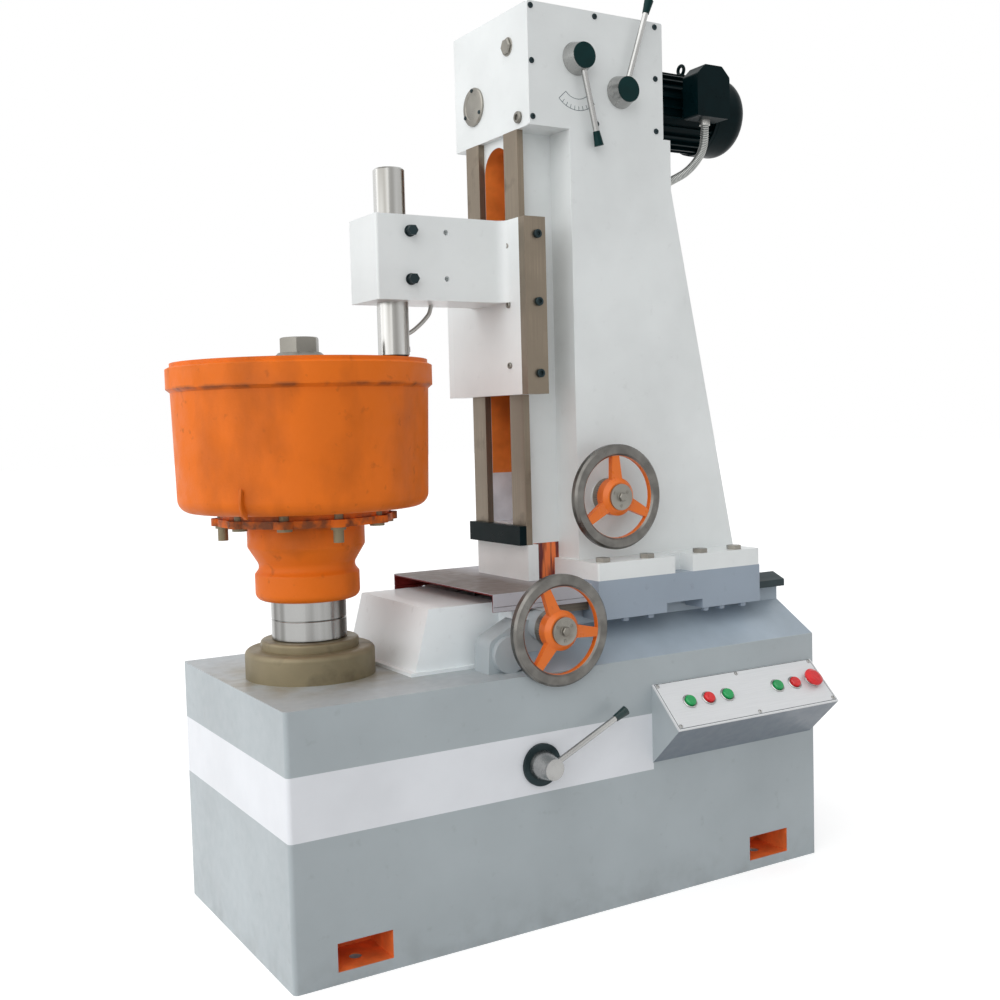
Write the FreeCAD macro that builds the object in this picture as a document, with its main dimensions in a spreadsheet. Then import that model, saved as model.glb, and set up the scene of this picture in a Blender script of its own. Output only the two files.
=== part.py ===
"""Vertical boring machine for brake drums, built as a parametric FreeCAD document.

A long hollow bed carries a power driven upright spindle at its left end, with a brake drum clamped on it.
A column slides along two bed ways, a carriage slides up and down the column, and a boring bar
is clamped in the arm of the carriage. The origin is on the floor, under the middle of the bed.
X runs along the front of the machine, Y to the back and Z up. All sizes are millimetres.
"""
import FreeCAD, Part
import Sketcher
import math
import os

DOC = FreeCAD.newDocument("drum_boring_machine")

# The driving sizes, one cell each in the spreadsheet.
SIZES = {
    # fits
    "slide_gap": 0.1,
    "running_gap": 0.05,
    "seat_gap": 0.1,
    # bed casting
    "base_length": 1140,
    "base_width": 532,
    "deck_height": 458,
    "base_wall": 18,
    "deck_thickness": 26,
    "base_corner": 8,
    "bed_start": 100,
    "bed_rise": 90,
    "bed_half_width": 164,
    "slope_rise": 60,
    "bed_cavity_start": 20,
    "trough_half_width": 80,
    "trough_depth": 48,
    "trough_wall": 20,
    # anchor pockets
    "anchor_x": 443.5,
    "pocket_width": 100,
    "pocket_height": 48,
    "pocket_floor": 20,
    "pocket_depth": 90,
    "pocket_wall": 12,
    "anchor_hole": 22,
    # bed ways
    "way_half_width": 33,
    "way_shoulder": 14,
    "way_ridge": 27.4,
    "way_overhang": 23,
    # cover at the left end of the ways
    "end_cover_length": 175,
    "end_cover_half_width": 142,
    "end_cover_slope": 30,
    "end_cover_height": 116.5,
    "end_cover_flange": 6,
    "cover_sheet": 4,
    # spindle
    "spindle_offset": 415,
    "housing_radius": 116.6,
    "housing_height": 51,
    "housing_round": 10,
    "cap_radius": 88,
    "cap_height": 16,
    "sleeve_radius": 90,
    "sleeve_depth": 208,
    "journal_radius": 45,
    "bearing_radius": 70,
    "bearing_width": 34,
    "nose_radius": 67.3,
    "nose_bottom": 69,
    "nose_top": 139,
    "nose_groove": 1.5,
    "tail_radius": 30,
    "tail_bottom": -358,
    "mandrel_radius": 24,
    # belt drive under the deck
    "pulley_radius": 125,
    "pulley_bottom": -350,
    "pulley_width": 40,
    "drive_distance": 300,
    "drive_pulley_radius": 65,
    "belt_thickness": 9,
    "belt_width": 18,
    "groove_depth": 11,
    "groove_margin": 2,
    "drive_shaft_radius": 20,
    "gearbox_length": 200,
    "gearbox_half_width": 130,
    "gearbox_height": 250,
    "main_motor_radius": 95,
    "main_motor_length": 280,
    "main_motor_drop": 130,
    # hub and drum
    "hub_ring_radius": 93.5,
    "hub_ring_height": 47,
    "hub_ring_round": 14,
    "hub_waist_radius": 83,
    "hub_waist_height": 60,
    "hub_top_radius": 105,
    "hub_top_height": 96,
    "hub_flange_radius": 156,
    "hub_flange_height": 137,
    "hub_flange_thickness": 13,
    "hub_lobe_radius": 20,
    "stud_count": 10,
    "stud_circle": 146,
    "stud_radius": 9,
    "stud_nut": 30,
    "stud_nut_height": 15,
    "stud_head": 13,
    "stud_head_height": 5,
    "stud_tail": 22,
    "drum_boss_radius": 150,
    "drum_boss_inner": 62,
    "drum_boss_height": 12,
    "drum_bottom_radius": 222,
    "drum_corner": 24,
    "drum_web": 22,
    "drum_wall_radius": 227.5,
    "drum_band_radius": 235,
    "drum_band_bottom": 378,
    "drum_band_top": 413,
    "drum_lip_radius": 227,
    "drum_top": 423,
    "drum_bore": 215,
    "clamp_sleeve_radius": 42,
    "clamp_foot_radius": 58,
    "clamp_foot_height": 16,
    "clamp_washer_bottom": 429,
    "clamp_washer_radius": 46,
    "clamp_washer_thickness": 11,
    "clamp_nut_width": 64,
    "clamp_nut_height": 27,
    # saddle
    "saddle_left": 71,
    "saddle_length": 399,
    "saddle_half_width": 221,
    "saddle_top": 146,
    "saddle_recess": 75,
    "saddle_recess_top": 127,
    "saddle_lip": 16,
    "keeper_height": 18,
    "keeper_reach": 53,
    "keeper_left_length": 160,
    "keeper_right_length": 150,
    "saddle_cover_length": 216,
    "saddle_cover_half_width": 200,
    "saddle_cover_top": -6,
    "saddle_cover_lip": 24,
    # rack and pinion of the cross travel
    "gear_module": 2,
    "pinion_teeth": 16,
    "rack_teeth": 32,
    "tooth_thinning": 0.28,
    "gear_width": 24,
    "rack_pad_length": 160,
    "rack_back": 12,
    # column
    "column_left": 82,
    "column_half_width": 143,
    "column_top": 846,
    "column_top_right": 321.5,
    "column_break": 748,
    "column_foot": 33,
    "column_wall": 16,
    "foot_notch_left": 253,
    "foot_notch_width": 44,
    "foot_notch_depth": 40,
    "neck_half_width": 74,
    "neck_front": 7,
    "neck_block_front": -3,
    "neck_block_back": 20,
    "neck_block_half_width": 96,
    "neck_block_top": 64,
    "neck_block_gap": 0.5,
    "slot_half_width": 47,
    "slot_bottom": 102,
    "slot_top": 831,
    "screw_shelf": 208,
    "foot_bolt": 26,
    "foot_bolt_head": 8,
    # column ways
    "column_way_front": -6,
    "column_way_outer": 96,
    "column_way_thickness": 13,
    "end_bar_height": 37,
    "end_bar_thickness": 15,
    # head
    "head_left": -5,
    "head_right": 307,
    "head_half_width": 140,
    "head_bottom": 2,
    "head_top": 224,
    "head_plate": 10,
    "head_corner": 4,
    "head_wall": 14,
    # feed motor
    "motor_height": 97,
    "motor_flange_radius": 84,
    "motor_flange": 16,
    "motor_core_radius": 71,
    "motor_fin_radius": 79,
    "motor_fin_count": 24,
    "motor_fin": 4,
    "motor_body_length": 185,
    "fan_cover_radius": 83,
    "fan_cover_length": 80,
    "fan_cover_round": 36,
    "fan_cover_sheet": 3,
    "terminal_left": 394,
    "terminal_length": 84,
    "terminal_bottom": 57,
    "terminal_height": 103,
    "terminal_front": 143,
    "terminal_depth": 46,
    "terminal_chamfer": 20,
    "terminal_neck": 28,
    # flexible conduit
    "conduit_radius": 8.5,
    "conduit_rib": 0.9,
    "conduit_bore": 6.5,
    "conduit_rib_count": 46,
    "gland_radius": 11,
    "gland_length": 10,
    # carriage and arm
    "carriage_face": -29,
    "carriage_half_width": 150,
    "carriage_bottom": 351,
    "carriage_top": 677,
    "keeper_plate": 20,
    "keeper_lip": 10,
    "arm_end": -297,
    "arm_front": -83,
    "arm_back": 33,
    "arm_bottom": 524,
    "arm_top": 676,
    "arm_round": 22,
    "arm_corner": 5,
    "pin_run": 127,
    "pin_low": 40,
    "pin_high": 124,
    "pin_radius": 5,
    "pin_depth": 13,
    "bolt_low": 37,
    "bolt_high": 123,
    "clamp_bolt": 10,
    "clamp_bolt_head": 13,
    "clamp_bolt_collar": 10.5,
    "clamp_bolt_collar_height": 3,
    # boring bar
    "bar_x": -240,
    "bar_y": -25,
    "bar_radius": 29,
    "bar_bottom": 425,
    "bar_top": 766,
    "bar_chamfer": 3,
    "bit_size": 10,
    "bit_reach": 2,
    "bit_height": 14,
    # nozzle pipe under the arm
    "nozzle_radius": 4,
    # vertical feed
    "screw_x": 140,
    "screw_radius": 14,
    "screw_top": 40,
    "nut_half_width": 34,
    "nut_bottom": 476,
    "nut_height": 70,
    "nut_wall": 16,
    "bevel_height": 153,
    "bevel_wheel_radius": 34,
    "bevel_screw_radius": 17,
    "bevel_width": 0.45,
    "bevel_gap": 0.5,
    # hand wheels
    "wheel_radius": 100,
    "wheel_rim": 22,
    "wheel_rim_width": 18,
    "wheel_rim_chamfer": 4,
    "wheel_hub_radius": 36,
    "wheel_hub_width": 26,
    "wheel_hub_chamfer": 8,
    "wheel_bore": 10,
    "spoke_root": 24,
    "spoke_tip": 15,
    "spoke_thickness": 12,
    "wheel_shaft": 10,
    "wheel_shaft_collar": 12,
    "dial_radius": 35,
    "dial_width": 16,
    "hub_disc_radius": 25,
    "hub_disc": 4,
    "upper_wheel_y": 188,
    "upper_spoke_angle": 93,
    "lower_wheel_x": -55,
    "lower_wheel_z": 76,
    "lower_wheel_y": 277,
    "lower_spoke_angle": 112,
    # bracket of the lower hand wheel
    "bracket_left": -167,
    "bracket_right": -8,
    "bracket_front": 214,
    "bracket_top": 89,
    "bracket_shoulder": 58,
    "bracket_slope": 66,
    "bracket_round": 20,
    "boss_x": -126,
    "boss_z": 32,
    "boss_radius": 33,
    "boss_front": 226,
    "bush_radius": 27,
    "bush_gap": 0.5,
    # levers
    "lever_hub_radius": 31,
    "lever_cap_radius": 24,
    "lever_hub_depth": 26,
    "lever_cap": 3,
    "lever_rod": 5.5,
    "left_lever_length": 138,
    "right_lever_length": 160,
    "lever_grip": 27,
    "lever_grip_radius": 6.5,
    "lever_grip_tip": 9,
    "lever_shaft": 12,
    "left_lever_x": 102,
    "left_lever_z": 131,
    "left_lever_angle": -77,
    "right_lever_x": 203,
    "right_lever_z": 80,
    "right_lever_angle": 71,
    "speed_lever_x": -94.5,
    "speed_lever_z": 297,
    "speed_lever_angle": 25,
    "speed_lever_length": 158,
    "speed_hub_radius": 27,
    "speed_cap_radius": 19,
    "speed_hub_depth": 36,
    "escutcheon_radius": 38,
    "escutcheon": 6,
    # control box
    "panel_left": 155,
    "panel_length": 405,
    "panel_width": 109,
    "panel_tilt": 42.8,
    "panel_top": 408.6,
    "panel_drop": 150.6,
    "panel_sheet": 3,
    "button_row": 57,
    "left_buttons": 60,
    "right_buttons": 281,
    "button_pitch": 46,
    "button_radius": 11,
    "button_height": 8,
    "button_depth": 22,
    "stop_radius": 19,
    "stop_height": 15,
}

# Heights that are measured from another size, so that what stands on it rises and falls with it.
STANDS_ON = {
    "deck_height": (
        "nose_bottom", "nose_top", "tail_bottom", "pulley_bottom", "saddle_top", "saddle_recess_top",
        "lower_wheel_z", "bracket_top", "bracket_shoulder", "boss_z",
    ),
    "nose_top": (
        "drum_band_bottom", "drum_band_top", "drum_top", "clamp_washer_bottom",
    ),
    "saddle_top": (
        "saddle_cover_top", "column_top", "column_break", "neck_block_top", "slot_bottom", "slot_top",
        "screw_shelf", "carriage_bottom", "carriage_top", "arm_bottom", "arm_top", "bar_bottom",
        "bar_top", "nut_bottom", "bevel_height",
    ),
    "column_top": (
        "head_bottom", "head_top", "motor_height", "terminal_bottom", "screw_top", "left_lever_z",
        "right_lever_z",
    ),
}
CARRIER = {name: carrier for carrier, names in STANDS_ON.items() for name in names}


class Size:
    """A length that carries both its spreadsheet expression and its present value."""

    def __init__(self, text, number):
        self.text = text
        self.number = float(number)

    def __add__(self, other):
        other = as_size(other)
        return Size(f"({self.text} + {other.text})", self.number + other.number)

    def __sub__(self, other):
        other = as_size(other)
        return Size(f"({self.text} - {other.text})", self.number - other.number)

    def __mul__(self, other):
        other = as_size(other)
        return Size(f"({self.text} * {other.text})", self.number * other.number)

    def __truediv__(self, other):
        other = as_size(other)
        return Size(f"({self.text} / {other.text})", self.number / other.number)

    def __neg__(self):
        return Size(f"(-1 * {self.text})", -self.number)

    def __radd__(self, other):
        return as_size(other) + self

    def __rsub__(self, other):
        return as_size(other) - self

    def __rmul__(self, other):
        return as_size(other) * self

    def __rtruediv__(self, other):
        return as_size(other) / self


def as_size(value):
    """A plain number as a Size."""
    return value if isinstance(value, Size) else Size(f"{value:.9g}", value)


def cosine(degrees):
    """Cosine of an angle in degrees, as a Size."""
    angle = as_size(degrees)
    return Size(f"cos({angle.text})", math.cos(math.radians(angle.number)))


def sine(degrees):
    """Sine of an angle in degrees, as a Size."""
    angle = as_size(degrees)
    return Size(f"sin({angle.text})", math.sin(math.radians(angle.number)))


class SizeTable:
    """Gives every cell of the sheet as an attribute."""

    def __getattr__(self, name):
        size = Size("Sizes." + name, SIZES[name])
        if name in CARRIER:
            return getattr(self, CARRIER[name]) + size
        return size


S = SizeTable()


def fill_sheet():
    """One row per driving size: its name, its value and the alias that expressions use."""
    sheet = DOC.addObject("Spreadsheet::Sheet", "Sizes")
    for row, (name, number) in enumerate(SIZES.items(), start=1):
        sheet.set(f"A{row}", name)
        sheet.set(f"B{row}", str(number))
        sheet.setAlias(f"B{row}", name)
    DOC.recompute()


TURNS = {
    "Z": FreeCAD.Rotation(),
    "X": FreeCAD.Rotation(FreeCAD.Vector(0, 1, 0), 90),
    "Y": FreeCAD.Rotation(FreeCAD.Vector(1, 0, 0), -90),
    "-Y": FreeCAD.Rotation(FreeCAD.Vector(1, 0, 0), 90),
}
PLANES = {"XY": "XY_Plane", "XZ": "XZ_Plane", "YZ": "YZ_Plane"}
NODES = []


def bind(item, path, size):
    """Ties one property of an object to an expression of the sheet's cells."""
    item.setExpression(path, as_size(size).text)


def place(item, x=0, y=0, z=0, turn="Z"):
    """Turns an object so that its own Z lies along an axis, and ties its position to the sheet."""
    item.Placement = FreeCAD.Placement(FreeCAD.Vector(), TURNS[turn])
    bind(item, "Placement.Base.x", x)
    bind(item, "Placement.Base.y", y)
    bind(item, "Placement.Base.z", z)
    return item


def tilt(item, axis, degrees):
    """Turns an object about an axis of the machine by an angle from the sheet."""
    item.Placement = FreeCAD.Placement(FreeCAD.Vector(), FreeCAD.Rotation(axis, as_size(degrees).number))
    bind(item, "Placement.Rotation.Angle", degrees)
    return item


def node(item, label):
    """Names an object as one piece of the machine."""
    item.Label = label
    NODES.append(item)
    return item


def block(name, xs, ys, zs):
    """A box between two values along each axis."""
    item = DOC.addObject("Part::Box", name)
    bind(item, "Length", as_size(xs[1]) - xs[0])
    bind(item, "Width", as_size(ys[1]) - ys[0])
    bind(item, "Height", as_size(zs[1]) - zs[0])
    return place(item, xs[0], ys[0], zs[0])


def cylinder(name, centre, radius, length, turn="Z"):
    """A round bar that starts at a centre and runs along an axis."""
    item = DOC.addObject("Part::Cylinder", name)
    bind(item, "Radius", radius)
    bind(item, "Height", length)
    return place(item, *centre, turn)


def cone(name, centre, radius_start, radius_end, length, turn="Z"):
    """A round taper that starts at a centre and runs along an axis."""
    item = DOC.addObject("Part::Cone", name)
    bind(item, "Radius1", radius_start)
    bind(item, "Radius2", radius_end)
    bind(item, "Height", length)
    return place(item, *centre, turn)


def hexagon(name, centre, width, length, turn="Z"):
    """A six sided prism of a given width across its flats."""
    item = DOC.addObject("Part::Prism", name)
    item.Polygon = 6
    bind(item, "Circumradius", as_size(width) / math.sqrt(3))
    bind(item, "Height", length)
    return place(item, *centre, turn)


def fuse(name, *items):
    """Several objects joined into one solid."""
    item = DOC.addObject("Part::MultiFuse", name)
    item.Shapes = list(items)
    item.Refine = True
    return item


def cut(name, base, *tools):
    """An object with one or more others taken out of it."""
    item = DOC.addObject("Part::Cut", name)
    item.Base = base
    item.Tool = tools[0] if len(tools) == 1 else fuse(name + "_tools", *tools)
    item.Refine = True
    return item


def group(name, *items):
    """Like pieces kept as separate solids of one node."""
    item = DOC.addObject("Part::Compound", name)
    item.Links = list(items)
    return item


def origin_plane(body, plane):
    """One of a body's own origin planes."""
    return next(f for f in body.Origin.OriginFeatures if f.Role == PLANES[plane])


def polygon(body, plane, points):
    """A closed sketch of straight lines whose corners are all tied to the sheet."""
    sketch = body.newObject("Sketcher::SketchObject", body.Name + "_sketch")
    sketch.AttachmentSupport = (origin_plane(body, plane), [""])
    sketch.MapMode = "FlatFace"
    corners = [(as_size(u), as_size(v)) for u, v in points]
    count = len(corners)
    vectors = [FreeCAD.Vector(u.number, v.number, 0) for u, v in corners]
    for i in range(count):
        sketch.addGeometry(Part.LineSegment(vectors[i], vectors[(i + 1) % count]))
    for i in range(count):
        sketch.addConstraint(Sketcher.Constraint("Coincident", i, 2, (i + 1) % count, 1))
    for i, (u, v) in enumerate(corners):
        for kind, size in (("DistanceX", u), ("DistanceY", v)):
            index = sketch.addConstraint(Sketcher.Constraint(kind, -1, 1, i, 1, size.number))
            sketch.setExpression(f"Constraints[{index}]", size.text)
    return sketch


def round_corners(body, points, rounds, on_corner):
    """Rounds the edges that stand on chosen corners of the profile."""
    for radius, indices in rounds:
        DOC.recompute()
        feature = body.Tip
        wanted = [(as_size(points[i][0]).number, as_size(points[i][1]).number) for i in indices]
        names = [
            f"Edge{k}"
            for k, edge in enumerate(feature.Shape.Edges, start=1)
            if any(on_corner(edge, u, v) for u, v in wanted)
        ]
        fillet = body.newObject("PartDesign::Fillet", body.Name + "_round")
        fillet.Base = (feature, names)
        bind(fillet, "Radius", radius)


def near(a, b):
    """True where two lengths are the same to a hundredth of a millimetre."""
    return abs(a - b) < 0.01


def prism(name, plane, points, start, length, rounds=()):
    """A profile pushed along the axis that its plane leaves out, from a start position."""
    body = DOC.addObject("PartDesign::Body", name)
    sketch = polygon(body, plane, points)
    pad = body.newObject("PartDesign::Pad", name + "_pad")
    pad.Profile = sketch
    bind(pad, "Length", length)
    pad.Reversed = plane == "XZ"
    axes = {"XY": (0, 1, 2), "XZ": (0, 2, 1), "YZ": (1, 2, 0)}[plane]

    def on_corner(edge, u, v):
        ends = [vertex.Point for vertex in edge.Vertexes]
        return len(ends) == 2 and all(near(p[axes[0]], u) and near(p[axes[1]], v) for p in ends)

    round_corners(body, points, rounds, on_corner)
    offset = [0, 0, 0]
    offset[axes[2]] = start
    return place(body, *offset)


def revolve(name, points, centre=(0, 0, 0), turn="Z", rounds=()):
    """A profile of (radius, height) corners turned about its own axis."""
    body = DOC.addObject("PartDesign::Body", name)
    sketch = polygon(body, "XZ", points)
    turned = body.newObject("PartDesign::Revolution", name + "_turned")
    turned.Profile = sketch
    turned.ReferenceAxis = (sketch, ["V_Axis"])
    turned.Angle = 360

    def on_corner(edge, u, v):
        curve = edge.Curve
        return isinstance(curve, Part.Circle) and near(curve.Radius, u) and near(curve.Center.z, v)

    round_corners(body, points, rounds, on_corner)
    return place(body, *centre, turn)


SIDES = (("front", -1), ("rear", 1))
HALF_LENGTH = S.base_length / 2
HALF_WIDTH = S.base_width / 2
BED_TOP = S.deck_height + S.bed_rise
TROUGH_FLOOR = BED_TOP - S.trough_depth
SPINDLE_X = -S.spindle_offset
WAY_CENTRE = S.bed_half_width + S.way_overhang - S.way_half_width
PITCH_RADIUS = S.gear_module * S.pinion_teeth / 2


def bed_casting():
    """Hollow bed with a raised, sloped right part, anchor pockets and a trough between the ways."""
    corner = [(-HALF_LENGTH, -HALF_WIDTH), (HALF_LENGTH, -HALF_WIDTH), (HALF_LENGTH, HALF_WIDTH), (-HALF_LENGTH, HALF_WIDTH)]
    plinth = prism("plinth", "XY", corner, 0, S.deck_height, [(S.base_corner, (0, 3))])
    slope_top = S.deck_height + S.slope_rise
    section = [
        (-HALF_WIDTH, S.deck_height),
        (-S.bed_half_width, slope_top),
        (-S.bed_half_width, BED_TOP),
        (S.bed_half_width, BED_TOP),
        (S.bed_half_width, slope_top),
        (HALF_WIDTH, S.deck_height),
    ]
    bed = prism("raised_bed", "YZ", section, -S.bed_start, HALF_LENGTH + S.bed_start)
    outside = fuse("bed_outside", plinth, bed)
    inner_x = HALF_LENGTH - S.base_wall
    inner_y = HALF_WIDTH - S.base_wall
    ceiling = S.deck_height - S.deck_thickness
    cavity = block("bed_cavity", (-inner_x, inner_x), (-inner_y, inner_y), (S.base_wall, ceiling))
    bed_y = S.bed_half_width - S.base_wall
    upper = block("upper_cavity", (S.bed_cavity_start, inner_x), (-bed_y, bed_y), (ceiling, TROUGH_FLOOR - S.base_wall))
    hollow = cut("bed_hollow", outside, cavity, upper)
    lugs = []
    tools = []
    reach = S.pocket_depth + S.pocket_wall
    half = S.pocket_width / 2
    for x_sign in (-1, 1):
        for side, y_sign in SIDES:
            x = S.anchor_x * x_sign
            tag = f"{side}_{'right' if x_sign > 0 else 'left'}"
            wall = (x - half - S.pocket_wall, x + half + S.pocket_wall)
            depth = sorted_pair(HALF_WIDTH * y_sign, (HALF_WIDTH - reach) * y_sign, y_sign)
            lugs.append(block("lug_" + tag, wall, depth, (0, S.pocket_floor + S.pocket_height + S.pocket_wall)))
            mouth = sorted_pair((HALF_WIDTH + 1) * y_sign, (HALF_WIDTH - S.pocket_depth) * y_sign, y_sign)
            heights = (S.pocket_floor, S.pocket_floor + S.pocket_height)
            tools.append(block("pocket_" + tag, (x - half, x + half), mouth, heights))
            hole = (x, (HALF_WIDTH - S.pocket_depth / 2) * y_sign, -1)
            tools.append(cylinder("anchor_hole_" + tag, hole, S.anchor_hole / 2, S.pocket_floor + 2))
    trough_end = HALF_LENGTH - S.trough_wall
    trough_y = (-S.trough_half_width, S.trough_half_width)
    tools.append(block("trough", (-S.bed_start - 1, trough_end), trough_y, (TROUGH_FLOOR, BED_TOP + 1)))
    bore = S.sleeve_radius + S.seat_gap
    tools.append(cylinder("spindle_hole", (SPINDLE_X, 0, ceiling - 1), bore, S.deck_thickness + 2))
    shaft = S.wheel_shaft_collar + S.running_gap
    shaft_start = (S.lower_wheel_x, -HALF_WIDTH, S.lower_wheel_z)
    tools.append(cylinder("wheel_shaft_hole", shaft_start, shaft, HALF_WIDTH + lower_shaft_tail() + 1, "Y"))
    lever_start = (S.speed_lever_x, -HALF_WIDTH - 1, S.speed_lever_z)
    tools.append(cylinder("lever_shaft_hole", lever_start, S.lever_shaft + S.running_gap, S.base_wall + 2, "Y"))
    node(cut("base_casting", fuse("bed_with_lugs", hollow, *lugs), *tools), "base_casting")
    return outside


def sorted_pair(outer, inner, sign):
    """Two values along an axis in rising order, for a shape that reaches inwards from one side."""
    return (outer, inner) if sign < 0 else (inner, outer)


def lower_shaft_tail():
    """How far behind the middle the lower hand wheel's shaft ends, inside the far trough wall."""
    return S.trough_half_width + S.base_wall


def bed_ways():
    """Two inverted V ways that overhang the raised bed on its outer sides."""
    ways = []
    for side, sign in SIDES:
        centre = WAY_CENTRE * sign
        low = BED_TOP + S.way_shoulder
        section = [
            (centre - S.way_half_width, BED_TOP),
            (centre + S.way_half_width, BED_TOP),
            (centre + S.way_half_width, low),
            (centre, BED_TOP + S.way_ridge),
            (centre - S.way_half_width, low),
        ]
        ways.append(prism(f"{side}_way", "YZ", section, -S.bed_start, HALF_LENGTH + S.bed_start))
    node(group("bed_ways", *ways), "bed_ways")


def way_end_cover():
    """Sheet cover with a sloped left end that closes the ways off beside the spindle."""
    right = -S.bed_start
    left = right - S.end_cover_length
    low = S.deck_height + S.end_cover_flange
    top = S.deck_height + S.end_cover_height
    outline = [(left, low), (left + S.end_cover_slope, top), (right, top), (right, low)]
    width = S.end_cover_half_width * 2
    shell = prism("end_cover_shell", "XZ", outline, -S.end_cover_half_width, width)
    lip = S.end_cover_flange
    flange_y = S.end_cover_half_width + lip
    flange = block("end_cover_foot", (left - lip * 2, right), (-flange_y, flange_y), (S.deck_height, low))
    inside = [
        (left + S.cover_sheet, S.deck_height - 1),
        (left + S.cover_sheet, low),
        (left + S.end_cover_slope + S.cover_sheet, top - S.cover_sheet),
        (right + 1, top - S.cover_sheet),
        (right + 1, S.deck_height - 1),
    ]
    inner_y = S.end_cover_half_width - S.cover_sheet
    hollow = prism("end_cover_inside", "XZ", inside, -inner_y, inner_y * 2)
    node(cut("way_end_cover", fuse("end_cover_outside", shell, flange), hollow), "way_end_cover")


def spindle_support():
    """Flanged spindle housing with its two bearings."""
    flange_top = S.deck_height + S.housing_height
    cap_top = flange_top + S.cap_height
    sleeve_bottom = S.deck_height - S.sleeve_depth
    bore = S.bearing_radius + S.seat_gap
    seal = S.journal_radius + 0.4
    outline = [
        (bore, sleeve_bottom),
        (S.sleeve_radius, sleeve_bottom),
        (S.sleeve_radius, S.deck_height),
        (S.housing_radius, S.deck_height),
        (S.housing_radius, flange_top),
        (S.cap_radius, flange_top),
        (S.cap_radius, cap_top),
        (seal, cap_top),
        (seal, flange_top),
        (bore, flange_top),
    ]
    centre = (SPINDLE_X, 0, 0)
    node(revolve("spindle_housing", outline, centre, rounds=[(S.housing_round, (4,)), (S.cap_height / 3, (6,))]), "spindle_housing")
    inner = S.journal_radius + S.running_gap
    rings = []
    for tag, low in (("upper", flange_top - S.bearing_width), ("lower", sleeve_bottom)):
        ring = [(inner, low), (S.bearing_radius, low), (S.bearing_radius, low + S.bearing_width), (inner, low + S.bearing_width)]
        rings.append(revolve(f"{tag}_bearing", ring, centre))
    node(group("spindle_bearings", *rings), "spindle_bearings")


def spindle_and_pulley():
    """Spindle with a bright nose, a long clamping mandrel above it and a belt pulley below."""
    neck = S.pulley_bottom + S.pulley_width + S.groove_depth
    middle = (S.nose_bottom + S.nose_top) / 2
    groove = S.nose_radius - S.nose_groove
    mandrel_top = S.clamp_washer_bottom + S.clamp_washer_thickness + S.clamp_nut_height - 2
    outline = [
        (0, S.tail_bottom),
        (S.tail_radius, S.tail_bottom),
        (S.tail_radius, neck),
        (S.journal_radius, neck),
        (S.journal_radius, S.nose_bottom),
        (S.nose_radius, S.nose_bottom),
        (S.nose_radius, middle - S.nose_groove),
        (groove, middle),
        (S.nose_radius, middle + S.nose_groove),
        (S.nose_radius, S.nose_top),
        (S.mandrel_radius, S.nose_top),
        (S.mandrel_radius, mandrel_top),
        (0, mandrel_top),
    ]
    centre = (SPINDLE_X, 0, 0)
    node(revolve("spindle_shaft", outline, centre), "spindle_shaft")
    node(pulley("spindle_pulley", S.pulley_radius, S.tail_radius + S.running_gap, centre), "spindle_pulley")


def pulley(name, radius, bore, centre):
    """A belt pulley with one flat bottomed groove."""
    low = S.pulley_bottom
    high = low + S.pulley_width
    middle = (low + high) / 2
    half = S.belt_width / 2 + S.groove_margin
    bottom = radius - S.groove_depth
    outline = [
        (bore, low),
        (radius, low),
        (radius, middle - half),
        (bottom, middle - half),
        (bottom, middle + half),
        (radius, middle + half),
        (radius, high),
        (bore, high),
    ]
    return revolve(name, outline, centre)


def belt_drive():
    """Gearbox and motor under the deck, with a pulley and a belt to the spindle."""
    ceiling = S.deck_height - S.deck_thickness
    drive_x = SPINDLE_X + S.drive_distance
    left = drive_x - S.gearbox_length / 2
    right = drive_x + S.gearbox_length / 2
    low = ceiling - S.gearbox_height
    box = block("gearbox_body", (left, right), (-S.gearbox_half_width, S.gearbox_half_width), (low, ceiling))
    shaft_bore = S.drive_shaft_radius + S.running_gap
    output = cylinder("output_hole", (drive_x, 0, low - 1), shaft_bore, S.gearbox_height / 4)
    shift = (S.speed_lever_x, -S.gearbox_half_width - 1, S.speed_lever_z)
    shifter = cylinder("shift_hole", shift, S.lever_shaft + S.running_gap, S.base_wall + 1, "Y")
    wall = S.base_wall
    inner_y = S.gearbox_half_width - wall
    chamber = block("gearbox_chamber", (left + wall, right - wall), (-inner_y, inner_y), (low + wall * 2, ceiling + 1))
    node(cut("main_gearbox", box, output, shifter, chamber), "main_gearbox")
    motor_z = ceiling - S.main_motor_drop
    flange = S.base_wall
    end = S.main_motor_length
    cap = S.main_motor_radius - flange
    outline = [
        (0, 0),
        (S.main_motor_radius, 0),
        (S.main_motor_radius, flange),
        (cap, flange),
        (cap, flange * 2),
        (S.main_motor_radius, flange * 2),
        (S.main_motor_radius, end),
        (0, end),
    ]
    motor = revolve("main_motor", outline, (right, 0, motor_z), "X", [(flange, (6,))])
    node(motor, "main_motor")
    wheel = pulley("drive_wheel", S.drive_pulley_radius, S.drive_shaft_radius - 1, (drive_x, 0, 0))
    bottom = S.pulley_bottom
    stub = cylinder("drive_stub", (drive_x, 0, bottom), S.drive_shaft_radius, low + S.gearbox_height / 8 - bottom)
    node(fuse("drive_pulley", wheel, stub), "drive_pulley")
    node(drive_belt(), "drive_belt")


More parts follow.
